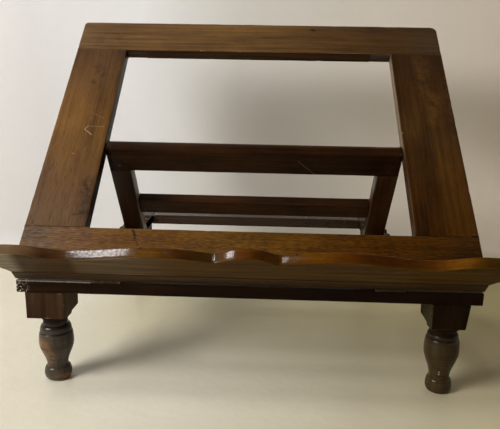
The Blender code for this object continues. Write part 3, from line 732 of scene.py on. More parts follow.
def scored(lie, face, lines, facing=1):
    """A step for walnut(): lines, each (start, end, width, colour, strength, depth), stains if depth is 0."""
    def step(place, look):
        across, along, out = measured(place, lie)
        skin = (out * facing).rise(face * facing - SKIN, face * facing - SKIN / 3)
        ragged = (place.clouds(400, 2) - 0.5) * RAGGED
        stained = place.clouds(150, 4, 0.6).rise(0.30, 0.70)
        for start, end, width, colour, strength, depth in lines:
            away = line_distance(across, along, start, end) + ragged
            line = (away.rise(width, width * 0.3) if depth else away.rise(width, 0.0) * stained) * skin
            look.lay_colour(line * strength, colour)
            look.relief -= line * depth
            look.gloss += line * 0.2
    return step


def painted_side_shading(axis, level, way, dark, light, fade=None, lie=LIE_OF_REST, face=None):
    """A step for walnut(): painted light and shade on the side at one level of an axis.

    A fade, (axis, none, full), limits it along another axis. The face above the side keeps its colours."""
    def step(place, look):
        measures = measured(place, lie)
        side = (measures[axis] * way).rise(level * way - SKIN, level * way - SKIN / 2)
        if fade:
            side = side * measures[fade[0]].rise(*fade[1:])
        if face:
            side = side * measures[2].rise(face - SKIN / 3, face - SKIN)
        streaks = place.clouds((12, 300, 300), 3).rise(0.3, 0.7)
        look.lay_colour(side, streaks.between(dark, light))
        if look.coat:
            look.coat *= 1 - side
    return step


def seam(place, look):
    """A step for walnut(): the dark joint underneath, between ledge and bottom rail."""
    _, along, out = measured(place, LIE_OF_REST)
    look.lay_colour(abs(out - FACE).rise(SKIN, SKIN / 3) * along.rise(0.0014, 0.0006), DIRT_AND_SHADE)


print("marks lie", round(FACE * 1000, 1), "mm above the hinge")

# %% Where the marks are
LEFT_STILE_MARKS = [
    ((-0.1876, 0.1820), (-0.1976, 0.1904), 0.0007, PALE, 0.75, 0.6),
    ((-0.1976, 0.1904), (-0.1945, 0.1954), 0.0007, PALE, 0.65, 0.6),
    ((-0.1945, 0.1954), (-0.1758, 0.1948), 0.0005, PALE, 0.30, 0.4),
    ((-0.1943, 0.2172), (-0.1783, 0.2086), 0.0005, PALE, 0.25, 0.4),
    ((-0.1866, 0.0701), (-0.1752, 0.0720), 0.0008, DIRT_AND_SHADE, 0.60, 0.8),
    ((-0.2002, 0.2977), (-0.1940, 0.2820), 0.0090, DIRT_AND_SHADE, 0.60, 0.0),
    ((-0.2027, 0.2704), (-0.2010, 0.2680), 0.0060, DIRT_AND_SHADE, 0.60, 0.0),
    # A wide soft band, darker along the inner edge low on the stile.
    ((-0.1787, 0.1110), (-0.1760, 0.0750), 0.0140, DIRT_AND_SHADE, 0.90, 0.0),
    ((-0.2041, 0.1539), (-0.2036, 0.1534), 0.0010, PALE, 0.55, 0.4)]
RIGHT_STILE_MARKS = [
    ((0.2050, 0.3180), (0.2060, 0.2600), 0.0170, GOLDEN, 0.50, 0.0),
    ((0.2130, 0.2500), (0.2100, 0.2150), 0.0150, GOLDEN, 0.55, 0.0),
    ((0.2310, 0.3300), (0.2310, 0.2000), 0.0120, DIRT_AND_SHADE, 0.60, 0.0),
    ((0.2270, 0.0560), (0.2330, 0.0555), 0.0012, DIRT_AND_SHADE, 0.90, 0.9),
    ((0.2290, 0.0585), (0.2293, 0.0585), 0.0007, PALE, 0.80, 0.0)]
TOP_RAIL_MARKS = [
    ((0.0704, 0.3742), (0.0725, 0.3735), 0.0035, DIRT_AND_SHADE, 0.80, 0.3),
    ((-0.2080, 0.3473), (-0.2060, 0.3460), 0.0080, DIRT_AND_SHADE, 0.30, 0.0),
    ((-0.1855, 0.3560), (-0.1760, 0.3440), 0.0090, DIRT_AND_SHADE, 0.30, 0.0)]
BOTTOM_RAIL_MARKS = [
    ((-0.1197, 0.0523), (-0.1172, 0.0470), 0.0021, DIRT_AND_SHADE, 0.85, 0.9),
    ((-0.1172, 0.0470), (-0.1158, 0.0420), 0.0012, DIRT_AND_SHADE, 0.70, 0.8),
    ((-0.1150, 0.0405), (-0.1120, 0.0341), 0.0008, DIRT_AND_SHADE, 0.55, 0.6),
    ((0.0928, 0.0535), (0.0936, 0.0532), 0.0014, DIRT_AND_SHADE, 0.85, 0.9),
    ((0.1010, 0.0500), (0.1013, 0.0497), 0.0009, DIRT_AND_SHADE, 0.70, 0.7)]
print("marks", len(LEFT_STILE_MARKS + RIGHT_STILE_MARKS + TOP_RAIL_MARKS + BOTTOM_RAIL_MARKS))

# %% [markdown]
# ## The book rest
# Two rails run the full width and two stiles stand between them, tenoned in, so the joints show as fine
# lines. Each board is of another piece of walnut: the left stile is redder and the bottom rail golden in
# the middle. The right-hand boards are darker, partly their own colour and partly painted shade for the
# light that falls off to the right. Edges that meet another board stay tight. The top rail is cut back a
# little underneath, next to each stile, and the bottom rail has a bed for each hinge leaf.

# %% Walnut for the four boards
STEP_HEIGHT = 0.0013
STEP_WIDTH = 0.0255
RUBBED = (0.26, 0.130, 0.045)
# Rubbed arrises of the right stile: wear, darkened partly as painted shade.
RUBBED_WITH_PAINTED_SHADE = (0.12, 0.056, 0.016)
# Painted shade for the left stile's inner side, which faces away from the lamps.
PAINTED_SHADE = ((0.008, 0.004, 0.001), (0.022, 0.011, 0.004))
# Painted shade for the top rail's underside and the lower part of the right stile's inner side.
PAINTED_SHADE_RIGHT = ((0.023, 0.010, 0.004), (0.058, 0.028, 0.011))
# Painted light on the underside of the top rail at its right-hand step.
PAINTED_LIGHT_ON_STEP = ((0.045, 0.032, 0.025), (0.090, 0.068, 0.055))
# Painted light on the upper part of the right stile's inner side, which faces the lamps.
PAINTED_LIGHT_ON_SIDE = ((0.11, 0.070, 0.036), (0.20, 0.145, 0.09))
# Painted shade on the bottom rail's underside.
PAINTED_SHADE_UNDER = ((0.030, 0.013, 0.001), (0.055, 0.024, 0.002))
top_low, top_high = extent("rest_top_rail", REST_FRAME)
stile_inner = extent("rest_stile_right", REST_FRAME)[0].x
step_level = top_low.y + STEP_HEIGHT
step_start = stile_inner - STEP_WIDTH
walnut_top = walnut(
    "walnut_top_rail", ALONG_REST_RAIL, (0.3, 0.02, 0.0),
    ((0.060, 0.029, 0.011), (0.150, 0.075, 0.0255), (0.24, 0.126, 0.046)), RUBBED, figure=0.10,
    steps=[scored(LIE_OF_REST, FACE, TOP_RAIL_MARKS),
           painted_side_shading(1, step_level, -1, *PAINTED_SHADE_RIGHT, face=FACE),
           painted_side_shading(1, step_level, -1, *PAINTED_LIGHT_ON_STEP, (0, step_start, step_start + NEAR), face=FACE)],
    # Darker towards the right-hand end, partly painted shade.
    run=("rest_top_rail", [
        (0.03, (0.90, 0.95, 1.00)), (0.12, (1.00, 1.00, 0.80)), (0.22, (0.85, 0.85, 0.75)),
        (0.44, (0.95, 0.95, 0.75)), (0.67, (0.70, 0.65, 0.50)), (0.88, (0.40, 0.35, 0.20)),
        (0.97, (0.35, 0.35, 0.40))]))
walnut_left = walnut(
    "walnut_left_stile", ALONG_REST_STILE, (1.1, 0.21, 0.0),
    ((0.060, 0.0249, 0.0053), (0.143, 0.064, 0.0113), (0.214, 0.102, 0.0200)), RUBBED,
    steps=[scored(LIE_OF_REST, FACE, LEFT_STILE_MARKS), painted_side_shading(0, -stile_inner, 1, *PAINTED_SHADE, face=FACE)],
    run=("rest_stile_left", [
        (0.12, (0.60, 0.60, 0.80)), (0.21, (0.55, 0.50, 0.55)), (0.31, (0.70, 0.65, 0.50)),
        (0.52, (1.00, 1.00, 0.95)), (0.73, (0.65, 0.65, 0.90)), (0.89, (0.55, 0.55, 0.95))]))
# The right stile's tones and rubbed arrises are partly painted shade; its inner side has painted shade
# low down and painted light higher up.
walnut_right = walnut(
    "walnut_right_stile", ALONG_REST_STILE, (2.3, -0.16, 0.0),
    ((0.0245, 0.009, 0.0016), (0.060, 0.0255, 0.0051), (0.114, 0.056, 0.0107)), RUBBED_WITH_PAINTED_SHADE,
    steps=[scored(LIE_OF_REST, FACE, RIGHT_STILE_MARKS),
           painted_side_shading(0, stile_inner, -1, *PAINTED_SHADE_RIGHT, face=FACE),
           painted_side_shading(0, stile_inner, -1, *PAINTED_LIGHT_ON_SIDE, (1, 0.155, 0.175), face=FACE)],
    run=("rest_stile_right", [
        (0.12, (0.90, 0.70, 0.25)), (0.21, (0.95, 0.80, 0.45)), (0.31, (0.90, 0.75, 0.50)),
        (0.52, (1.00, 1.00, 1.00)), (0.73, (0.75, 0.60, 0.40)), (0.89, (0.55, 0.45, 0.35))]))
walnut_bottom = walnut(
    "walnut_bottom_rail", ALONG_REST_RAIL, (3.7, 0.03, 0.0),
    ((0.058, 0.0241, 0.0073), (0.157, 0.069, 0.0176), (0.28, 0.140, 0.043)), RUBBED, fleck=1.1,
    steps=[scored(LIE_OF_REST, FACE, BOTTOM_RAIL_MARKS), painted_side_shading(1, 0.0, -1, *PAINTED_SHADE_UNDER), seam],
    # The grey-blue left end of this run is a painted sheen; its darker right end is partly painted shade.
    run=("rest_bottom_rail", [
        (0.03, (0.65, 0.75, 1.00)), (0.12, (1.00, 1.00, 0.90)), (0.22, (0.80, 0.70, 0.20)),
        (0.33, (0.70, 0.60, 0.12)), (0.44, (1.00, 1.00, 0.35)), (0.55, (0.75, 0.70, 0.20)),
        (0.67, (0.50, 0.40, 0.12)), (0.78, (0.70, 0.55, 0.08)), (0.88, (0.40, 0.30, 0.04)),
        (0.97, (0.30, 0.25, 0.12))]))
print("opening between the stiles", round(stile_inner * 2000, 1), "mm")

# %% Rails and stiles
REST_ARRIS = 0.0011
TOP_CORNER_LEFT = 0.005
TOP_CORNER_RIGHT = 0.008
LEAF_THICKNESS = 0.0012


def frame_rail_arris(inner_edge):
    """Tight where the stiles meet a rail's inner edge, rounded elsewhere."""
    def arris(point):
        meets_stile = abs(point.y - inner_edge) < NEAR and abs(point.x) > stile_inner
        return TIGHT if meets_stile else REST_ARRIS
    return arris


def stile_arris(point):
    return TIGHT if min(abs(point.y - end) for end in (top_low.y, rest_high.y)) < NEAR else REST_ARRIS


top_rail_cuts = []
for side in (-1, 1):
    start, end = sorted((side * step_start, side * stile_inner))
    top_rail_cuts.append(((start, top_low.y - SEAT, top_low.z - SEAT),
                          (end, step_level, (top_low.z + top_high.z) / 2)))
board("rest_top_rail", top_low, top_high, OF_REST, frame_rail_arris(top_low.y), 11, walnut_top,
      (SOFT, SOFT, TOP_CORNER_RIGHT, TOP_CORNER_LEFT), 9, top_rail_cuts)
for side, material, seed in (("left", walnut_left, 12), ("right", walnut_right, 13)):
    low, high = extent(f"rest_stile_{side}", REST_FRAME)
    low.y, high.y = rest_high.y + SEAT, top_low.y - SEAT
    board(f"rest_stile_{side}", low, high, OF_REST, stile_arris, seed, material, 4 * (CRISP,))
rest_beds = leaf_beds("hinge_rest_leaf", REST_FRAME, -NEAR, rest_low.z - NEAR,
                      rest_low.z + LEAF_THICKNESS + SEAT)
board("rest_bottom_rail", rest_low, rest_high, OF_REST, frame_rail_arris(rest_high.y), 14, walnut_bottom,
      nicks=8, cuts=rest_beds)

# %% [markdown]
# ## The scalloped ledge
# The ledge keeps a book from sliding off: a board set square to the rest, with a lobe in the middle between
# two cusps, a long swell, a hollow and a lobe at each end. The edge is a rule, sine and cosine
# waves between a few heights, so a function gives the reach of the edge at any place across.
# The ends curve back to the rest in a quarter of an ellipse. Hands have polished the edge, so it has a coat
# of its own, which saw ripples break up and which is dull on a few stretches.

# %% The edge of the ledge
CENTRE_LOBE = 0.037
CUSP_X, CUSP = 0.0315, 0.027
SIDE_SWELL_X, SIDE_SWELL = 0.090, 0.034
HOLLOW_X, HOLLOW = 0.176, 0.025
END_LOBE_X, END_LOBE = 0.226, 0.033
LEDGE_END = 0.020
LEDGE_END_STEPS = 8
LEDGE_ARRIS = 0.0008
LEDGE_CORNER = 0.003
ledge_low, ledge_high = extent("book_ledge", REST_FRAME)


def ledge_reach(x):
    """How far the ledge stands out from the rest, so far from its middle."""
    if x < CUSP_X:
        return CUSP + (CENTRE_LOBE - CUSP) * math.cos(QUARTER * x / CUSP_X)
    if x < SIDE_SWELL_X:
        return CUSP + (SIDE_SWELL - CUSP) * math.sin(QUARTER * (x - CUSP_X) / (SIDE_SWELL_X - CUSP_X))
    ahead, behind = (HOLLOW_X, HOLLOW), (SIDE_SWELL_X, SIDE_SWELL)
    if x > HOLLOW_X:
        ahead, behind = (END_LOBE_X, END_LOBE), (HOLLOW_X, HOLLOW)
    share = (x - behind[0]) / (ahead[0] - behind[0])
    return behind[1] + (ahead[1] - behind[1]) * (1 - math.cos(math.pi * share)) / 2


def ledge_path():
    """The ledge's outline as (out, across): the right half from the middle, then its mirror image."""
    count = round(END_LOBE_X / STEP)
    half = [(ledge_reach(END_LOBE_X * i / count), END_LOBE_X * i / count, 0.0) for i in range(count)]
    for i in range(LEDGE_END_STEPS + 1):
        angle = QUARTER * i / LEDGE_END_STEPS
        half.append((LEDGE_END + (END_LOBE - LEDGE_END) * math.cos(angle),
                     END_LOBE_X + (ledge_high.x - END_LOBE_X) * math.sin(angle), 0.0))
    half.append((0.0, rest_high.x, LEDGE_CORNER))
    return rounded_path(half + [(out, -across, radius) for out, across, radius in half[:0:-1]])


print("ledge", round((ledge_high.x - ledge_low.x) * 1000), "mm long")

# %% The polish of the ledge
DUST_AND_SHEEN = (0.19, 0.118, 0.058)
LEDGE_EDGE = FACE + 0.0285
POLISH_STARTS, POLISH_IS_FULL = FACE + 0.019, FACE + 0.024
DUST_AND_SHEEN_STARTS, DUST_AND_SHEEN_IS_FULL = -0.190, -0.222
DULL_STRETCHES = ((-0.300, -0.280, -0.182, -0.170, 0.95), (-0.106, -0.100, -0.080, -0.074, 1.0),
                  (-0.011, -0.009, -0.002, 0.0, 1.0), (0.0375, 0.0410, 0.060, 0.075, 0.85))
# Painted shade on the ledge's underside, with painted reflections: lighter towards the left, a darker
# patch where a leg is mirrored, and a pale grey left end where the top is mirrored.
LEDGE_UNDER_SHADE_AND_REFLECTIONS = [((0.055, 0.026, 0.004), (0.096, 0.048, 0.009)),
               ((0.085, 0.056, 0.029), (0.135, 0.094, 0.052), (0, -0.060, -0.130)),
               ((0.040, 0.020, 0.006), (0.078, 0.042, 0.014), (0, -0.162, -0.172)),
               ((0.17, 0.14, 0.095), (0.26, 0.22, 0.155), (0, -0.217, -0.231))]
LEDGE_MARKS = [((-0.1010, ledge_high.y - 0.0010), (-0.1006, ledge_high.y - 0.0008), 0.0016, DIRT_AND_SHADE, 0.9, 0.8),
               ((0.0470, ledge_high.y - 0.0012), (0.0474, ledge_high.y - 0.0010), 0.0013, DIRT_AND_SHADE, 0.9, 0.8)]


def handled(place, look):
    """A step for walnut(): the edge that hands polish, rippled by the saw and thick with old varnish."""
    across, along, out = measured(place, LIE_OF_REST)
    edge = out.rise(POLISH_STARTS, POLISH_IS_FULL)
    ripples = place.clouds((540, 460, 460), 3, 0.65)
    look.relief += edge * ripples * 1.5
    look.coat *= edge * (0.26 + ripples.rise(0.36, 0.64) * 0.72) * along.rise(SKIN / 3, SKIN)
    for start, dull, still_dull, end, share in DULL_STRETCHES:
        look.coat *= 1 - across.rise(start, dull) * across.rise(end, still_dull) * share
    # Paler brown on the left end lobe: partly dust, partly a painted dull highlight.
    look.lay_colour(edge * across.rise(DUST_AND_SHEEN_STARTS, DUST_AND_SHEEN_IS_FULL) * 0.45, DUST_AND_SHEEN)


walnut_ledge = walnut(
    "walnut_ledge", ALONG_REST_RAIL, (5.2, 0.01, 0.03),
    ((0.063, 0.019, 0.0011), (0.139, 0.046, 0.0022), (0.25, 0.095, 0.0066)), (0.20, 0.088, 0.026),
    0.32, 0.05, 1.0,
    steps=[handled, *[painted_side_shading(1, 0.0, -1, *under) for under in LEDGE_UNDER_SHADE_AND_REFLECTIONS], seam,
           scored(LIE_OF_REST, LEDGE_EDGE, LEDGE_MARKS)],
    # The run is partly painted highlight: its brightest, greyest stops lie where the edge catches the lamps.
    run=("book_ledge", [
        (0.00, (0.60, 0.65, 1.00)), (0.11, (0.40, 0.40, 0.35)), (0.27, (0.50, 0.55, 0.60)),
        (0.32, (0.65, 0.75, 1.00)), (0.38, (0.30, 0.25, 0.10)), (0.43, (0.25, 0.35, 0.45)),
        (0.49, (0.85, 0.75, 0.45)), (0.53, (0.30, 0.25, 0.12)), (0.62, (0.80, 0.85, 0.40)),
        (0.68, (0.85, 0.75, 0.10)), (0.73, (0.40, 0.30, 0.06)), (0.84, (0.55, 0.50, 0.35)),
        (0.89, (1.00, 1.00, 1.00)), (0.94, (0.35, 0.40, 0.25))]))
out_of_rest = Matrix(((0, 1, 0, 0), (0, 0, 1, ledge_low.y), (1, 0, 0, ledge_low.z), (0, 0, 0, 1)))
ledge_mesh = slab(ledge_path(), 0.0, ledge_high.y - ledge_low.y,
                  lambda point: TIGHT if point.x < NEAR else LEDGE_ARRIS,
                  REST_FRAME @ out_of_rest, 21, nicks=14)
dress("worn_book_ledge", ledge_mesh, "book_rest", "walnut_ledge", walnut_ledge, "book_ledge")

# %% [markdown]
# ## The strut
# The strut is a smaller frame, darker than the rest. Its top rail turns on two pins, so the upper edge is
# half round, and the lower rail is set back a little from the stiles. Each stile ends in a square
# foot that stands in a notch. The rounding of a board may differ from place to place, so the half-round
# edge is a board like the others, with a wide arris at its top.

# %% Walnut for the strut
STRUT_TONES = ((0.013, 0.004, 0.0009), (0.034, 0.012, 0.003), (0.072, 0.027, 0.007))
STRUT_RUBBED = (0.09, 0.040, 0.016)
END_GRAIN_STARTS, END_GRAIN_IS_FULL = 0.008, 0.003
STRUT_MARKS = [((0.0513, 0.0081), (0.0720, 0.0293), 0.0006, PALE, 0.30, 0.5)]
LIE_OF_STRUT = (ALONG_STRUT_RAIL, PIVOT)
rail_low, rail_high = extent("strut_top_rail", STRUT_FRAME)
foot_low, foot_high = extent("strut_stile_right", STRUT_FRAME)
lower_low, lower_high = extent("strut_lower_rail", STRUT_FRAME)


def dull_ends(place, look):
    """A step for walnut(): end grain, which drinks the varnish."""
    across = measured(place, LIE_OF_STRUT)[0]
    look.gloss += (rail_high.x - abs(across)).rise(END_GRAIN_STARTS, END_GRAIN_IS_FULL) * 0.5


walnut_strut_rail = walnut(
    "walnut_strut_rail", ALONG_STRUT_RAIL, (7.4, 0.02, 0.01), STRUT_TONES, STRUT_RUBBED, 0.34, 0.09,
    steps=[scored(LIE_OF_STRUT, rail_low.z, STRUT_MARKS, -1), dull_ends])
walnut_strut_stile = {}
# Each inner side is painted pale, painted light, on the right only near its top.
# The left stile gets a darker copy of the strut's tones and the right a lighter one: painted shade and light.
for side, share, edge in (
        ("left", 0.60, (0, -foot_low.x, 1, (0.13, 0.115, 0.10), (0.24, 0.21, 0.18), None)),
        ("right", 1.5, (0, foot_low.x, -1, (0.10, 0.085, 0.065), (0.17, 0.15, 0.12), (1, 0.062, 0.052)))):
    walnut_strut_stile[side] = walnut(
        f"walnut_strut_stile_{side}", ALONG_STRUT_STILE, (8.1, 0.05, 0.02),
        [shaded(tone, share) for tone in STRUT_TONES], STRUT_RUBBED, 0.36, 0.15,
        steps=[painted_side_shading(*edge, LIE_OF_STRUT)])
print("strut", round((foot_high.y - rail_low.y) * 1000, 1), "mm long")

# %% Four dark boards
STRUT_ARRIS = 0.0009
HALF_ROUND = (rail_high.z - rail_low.z) / 2 - 0.0002
FOOT_ARRIS = 0.0020
FOOT_CORNER = 0.0010
STRUT_CORNER = 0.005


def strut_rail_arris(point):
    if point.y < rail_low.y + NEAR:
        return HALF_ROUND
    meets_stile = point.y > rail_high.y - NEAR and abs(point.x) > foot_low.x
    return TIGHT if meets_stile else STRUT_ARRIS


def strut_stile_arris(point):
    if point.y > foot_high.y - NEAR:
        return FOOT_ARRIS
    return TIGHT if point.y < rail_high.y + NEAR else STRUT_ARRIS


board("strut_top_rail", rail_low, rail_high, OF_STRUT, strut_rail_arris, 31, walnut_strut_rail,
      (STRUT_CORNER, STRUT_CORNER, SOFT, SOFT), 0)
for side, seed in (("left", 32), ("right", 33)):
    low, high = extent(f"strut_stile_{side}", STRUT_FRAME)
    low.y = rail_high.y + SEAT
    board(f"strut_stile_{side}", low, high, OF_STRUT, strut_stile_arris, seed, walnut_strut_stile[side],
          (CRISP, CRISP, FOOT_CORNER, FOOT_CORNER), 0)
lower_low.x, lower_high.x = -foot_low.x + SEAT, foot_low.x - SEAT
board("strut_lower_rail", lower_low, lower_high, OF_STRUT,
      lambda point: TIGHT if abs(point.x) > lower_high.x - NEAR else STRUT_ARRIS, 34, walnut_strut_rail,
      4 * (CRISP,), 0)

# %% [markdown]
# ## The base
# A front rail, two racks and a rear rail, stained nearly black. Each rack has a row of notches square to the
# strut, so that its foot seats flat whichever notch it stands in. One notch is known, because the
# strut stands in it, and the others are steps of one pitch from it.

# %% Front and rear rail
BASE_ARRIS = 0.0011
BASE_TONES = ((0.012, 0.004, 0.001), (0.030, 0.012, 0.003), (0.060, 0.027, 0.008))
REAR_TONES = ((0.014, 0.006, 0.002), (0.034, 0.015, 0.006), (0.07, 0.034, 0.013))
BASE_RUBBED = (0.06, 0.028, 0.012)
PAINTED_SHEEN = (0.34, 0.31, 0.28)
SPECK = (0.66, 0.60, 0.52)
SPECKS_START, SPECKS_ARE_FULL = -0.2195, -0.2245
ORIGIN = (0.0, 0.0, 0.0)
LIE_OF_FRONT = ((-QUARTER, 0.0, 0.0), ORIGIN)
# A painted sheen: a pale line along the left part of the front rail's top edge.
BASE_PAINTED_SHEEN = [((-0.232, base_high.z - 0.0006), (-0.156, base_high.z - 0.0006), 0.0008, PAINTED_SHEEN, 0.85, 0.1)]


def speckled(place, look):
    """A step for walnut(): pale specks where the end of the rail has been knocked."""
    specks = place.clouds(620, 3).rise(0.58, 0.64) * place.part("X").rise(SPECKS_START, SPECKS_ARE_FULL)
    look.lay_colour(specks * 0.9, SPECK)
    look.relief -= specks * 0.6


walnut_base_rail = walnut(
    "walnut_base_rail", ALONG_BASE_RAIL, (11.0, 0.02, 0.0), BASE_TONES, BASE_RUBBED, 0.30, 0.06,
    steps=[scored(LIE_OF_FRONT, -base_low.y, BASE_PAINTED_SHEEN), speckled],
    # Brighter at the left end and darker to the right: partly painted light and shade.
    run=("base_front_rail", [(0.0, (1.00, 1.00, 1.00)), (0.10, (0.75, 0.70, 0.60)),
                             (0.25, (0.45, 0.40, 0.35)), (1.0, (0.30, 0.20, 0.15))]))
walnut_rear_rail = walnut("walnut_rear_rail", ALONG_BASE_RAIL, (11.6, 0.04, 0.0), REAR_TONES, BASE_RUBBED,
                          0.28, 0.3)
base_beds = leaf_beds("hinge_base_leaf", BASE_FRAME, base_low.y - NEAR,
                      base_high.z - LEAF_THICKNESS - SEAT, base_high.z + NEAR)
board("base_front_rail", base_low, base_high, OF_BASE, lambda point: BASE_ARRIS, 41, walnut_base_rail,
      nicks=0, cuts=base_beds)
rack_low, rack_high = extent("rack_right")
rear_low, rear_high = extent("base_rear_rail")
rear_low.x, rear_high.x = -rack_low.x + SEAT, rack_low.x - SEAT
board("base_rear_rail", rear_low, rear_high, OF_BASE, lambda point: BASE_ARRIS, 42, walnut_rear_rail,
      4 * (CRISP,))

# %% Racks
NOTCH_PITCH = 0.024
NOTCHES_AHEAD = 2
NOTCHES_BEHIND = 3
NOTCH_FLOOR = 0.0048
RACK_ARRIS = 0.0006
RACK_CORNER, TOOTH, NOTCH_ROOT = 0.001, 0.0005, 0.0003
SIDE_VIEW = Matrix(((0, 0, 1, 0), (1, 0, 0, 0), (0, 1, 0, 0), (0, 0, 0, 1)))
walnut_rack = walnut("walnut_rack", ALONG_RACK, (12.6, 0.03, 0.0), BASE_TONES, BASE_RUBBED, 0.36, 0.15)


def rack_path(front, low, high):
    """Side view of a rack, as (back, up), with its row of notches."""
    seat_corner = STRUT_FRAME @ Vector((0.0, foot_high.y, foot_low.z))
    floor = low + NOTCH_FLOOR
    seat_y = seat_corner.y + (seat_corner.z - floor) / math.tan(SLOPE)
    rise = high - floor
    corners = [(front, low, TOOTH), (rack_high.y, low, RACK_CORNER), (rack_high.y, high, RACK_CORNER)]
    for step in range(NOTCHES_BEHIND, -NOTCHES_AHEAD - 1, -1):
        bottom = seat_y + step * NOTCH_PITCH
        corners += [(bottom + rise * math.tan(SLOPE), high, TOOTH), (bottom, floor, NOTCH_ROOT),
                    (bottom - rise / math.tan(SLOPE), high, TOOTH)]
    return rounded_path(corners + [(front, high, TOOTH)])


for side, seed in (("left", 43), ("right", 44)):
    low, high = extent(f"rack_{side}")
    mesh = slab(rack_path(base_high.y + SEAT, low.z, high.z), low.x, high.x, lambda point: RACK_ARRIS,
                SIDE_VIEW, seed)
    dress(f"worn_rack_{side}", mesh, "base", "walnut_base", walnut_rack, f"rack_{side}")

# %% [markdown]
# ## Leg blocks
# Under each corner sits a plain block, flush with the rail in front. The front two are no longer square: the
# right one has lost wood towards its foot, and the left one leans and is a little longer. So a square block
# is made first, and its edges are leaned after.

# %% Four blocks
BLOCK_ARRIS = 0.0010
# The right block's tones are much darker than the left's: partly painted shade.
BLOCK_TONES = {"left": ((0.018, 0.008, 0.004), (0.047, 0.024, 0.011), (0.090, 0.050, 0.025)),
               "right": ((0.004, 0.002, 0.001), (0.010, 0.004, 0.001), (0.026, 0.013, 0.004))}
BLOCK_RUBBED = (0.16, 0.082, 0.040)
OUT_OF_SQUARE = {"leg_block_front_left": (-0.0024, -0.0012, -0.0005, -0.0024),
                 "leg_block_front_right": (0.0003, -0.0034, -0.0006, -0.0012)}
LONGER = {"leg_block_front_left": 0.0017}
FRONT_VIEW = Matrix(((1, 0, 0, 0), (0, 0, -1, 0), (0, 1, 0, 0), (0, 0, 0, 1)))
block_low, _ = extent("leg_block_front_right")
# Painted light on the front of the right block's left side, which faces the lamps.
SIDE_LIGHT = painted_side_shading(0, block_low.x, -1, (0.020, 0.014, 0.005), (0.058, 0.043, 0.018), (1, -0.10, -0.11),
                       (ALONG_BASE_RAIL, ORIGIN))
walnut_block = {}
for side, tones in BLOCK_TONES.items():
    walnut_block[side] = walnut(f"walnut_block_{side}", UPRIGHT, (14.2, 0.02, 0.01), tones, BLOCK_RUBBED,
                                0.55, 0.06, steps=[SIDE_LIGHT] if side == "right" else [])


def lean(mesh, low, high, shifts):
    """Moves a block's lower left, lower right, upper right and upper left edge sideways."""
    for vertex in mesh.vertices:
        right = (vertex.co.x - low.x) / (high.x - low.x)
        up = (vertex.co.z - low.z) / (high.z - low.z)
        below = shifts[0] * (1 - right) + shifts[1] * right
        above = shifts[3] * (1 - right) + shifts[2] * right
        vertex.co.x += below * (1 - up) + above * up


for place, side, seed in (("front", "left", 52), ("front", "right", 53), ("rear", "left", 62),
                          ("rear", "right", 63)):
    name = f"leg_block_{place}_{side}"
    low, high = extent(name)
    low.z -= LONGER.get(name, 0.0)
    outline = (Vector((low.x, low.z)), Vector((high.x, high.z)))
    mesh = slab(rectangle(*outline, BLOCK_ARRIS, BLOCK_ARRIS, CRISP, CRISP), -high.y, -low.y,
                lambda point: TIGHT if point.y > high.z - NEAR else BLOCK_ARRIS, FRONT_VIEW, seed, outline, 5)
    lean(mesh, low, high, OUT_OF_SQUARE.get(name, 4 * (0.0,)))
    dress(f"worn_{name}", mesh, "base", "walnut_base", walnut_block[side], name)

# %% [markdown]
# ## Turned feet
# A foot is turned on a lathe: toe, waist, bulb, an incised groove with a bead above it, neck and collar. They
# were turned by eye, so the two sides differ a little, and each side has its own heights and radii.
# Geometry Nodes does the turning. The profile's distance from the axis becomes the radius of a straight
# curve, a circle is swept along it, and the result stands at the soles, twisted by a fixed random angle.
# The polish has worn off the toes on the left and off one spot of the front left foot, and dirt sits in the
# rings of the gouge. Shade is painted on at the top, under the block, and a dribble of wax has run down the
# front right foot, its pale dots painted highlights.

# %% The profile of a foot
SOLE = 0.0100
COVE_HEIGHT = 0.0046
COLLAR, COLLAR_HEIGHT, COLLAR_ROUND = 0.0171, 0.0050, 0.0016
GROOVE_DEPTH = 0.0008
BEAD_STEP = 0.0002
WAIST_FLAT = 0.0014
TURNED = {"left": {"toe": (0.0143, 0.0064), "waist": (0.0110, 0.0161), "bulb": (0.0181, 0.0421),
                   "groove": (0.0166, 0.0546), "neck": (0.0127, 0.0625)},
          "right": {"toe": (0.0136, 0.0066), "waist": (0.0106, 0.0168), "bulb": (0.0180, 0.0471),
                    "groove": (0.0160, 0.0614), "neck": (0.0129, 0.0664)}}


def swell(start, end, steps):
    """A quarter of an ellipse between two (radius, height) points, upright at the wider one."""
    points = []
    for i in range(1, steps + 1):
        angle = QUARTER * i / steps
        across, along = math.sin(angle), 1 - math.cos(angle)
        if end[0] <= start[0]:
            across, along = 1 - math.cos(angle), math.sin(angle)
        points.append((start[0] + (end[0] - start[0]) * across, start[1] + (end[1] - start[1]) * along))
    return points


def ogee(start, end, steps):
    """An S-curve between two (radius, height) points."""
    shares = [i / steps for i in range(1, steps + 1)]
    return [(start[0] + (end[0] - start[0]) * (1 - math.cos(math.pi * share)) / 2,
             start[1] + (end[1] - start[1]) * share) for share in shares]


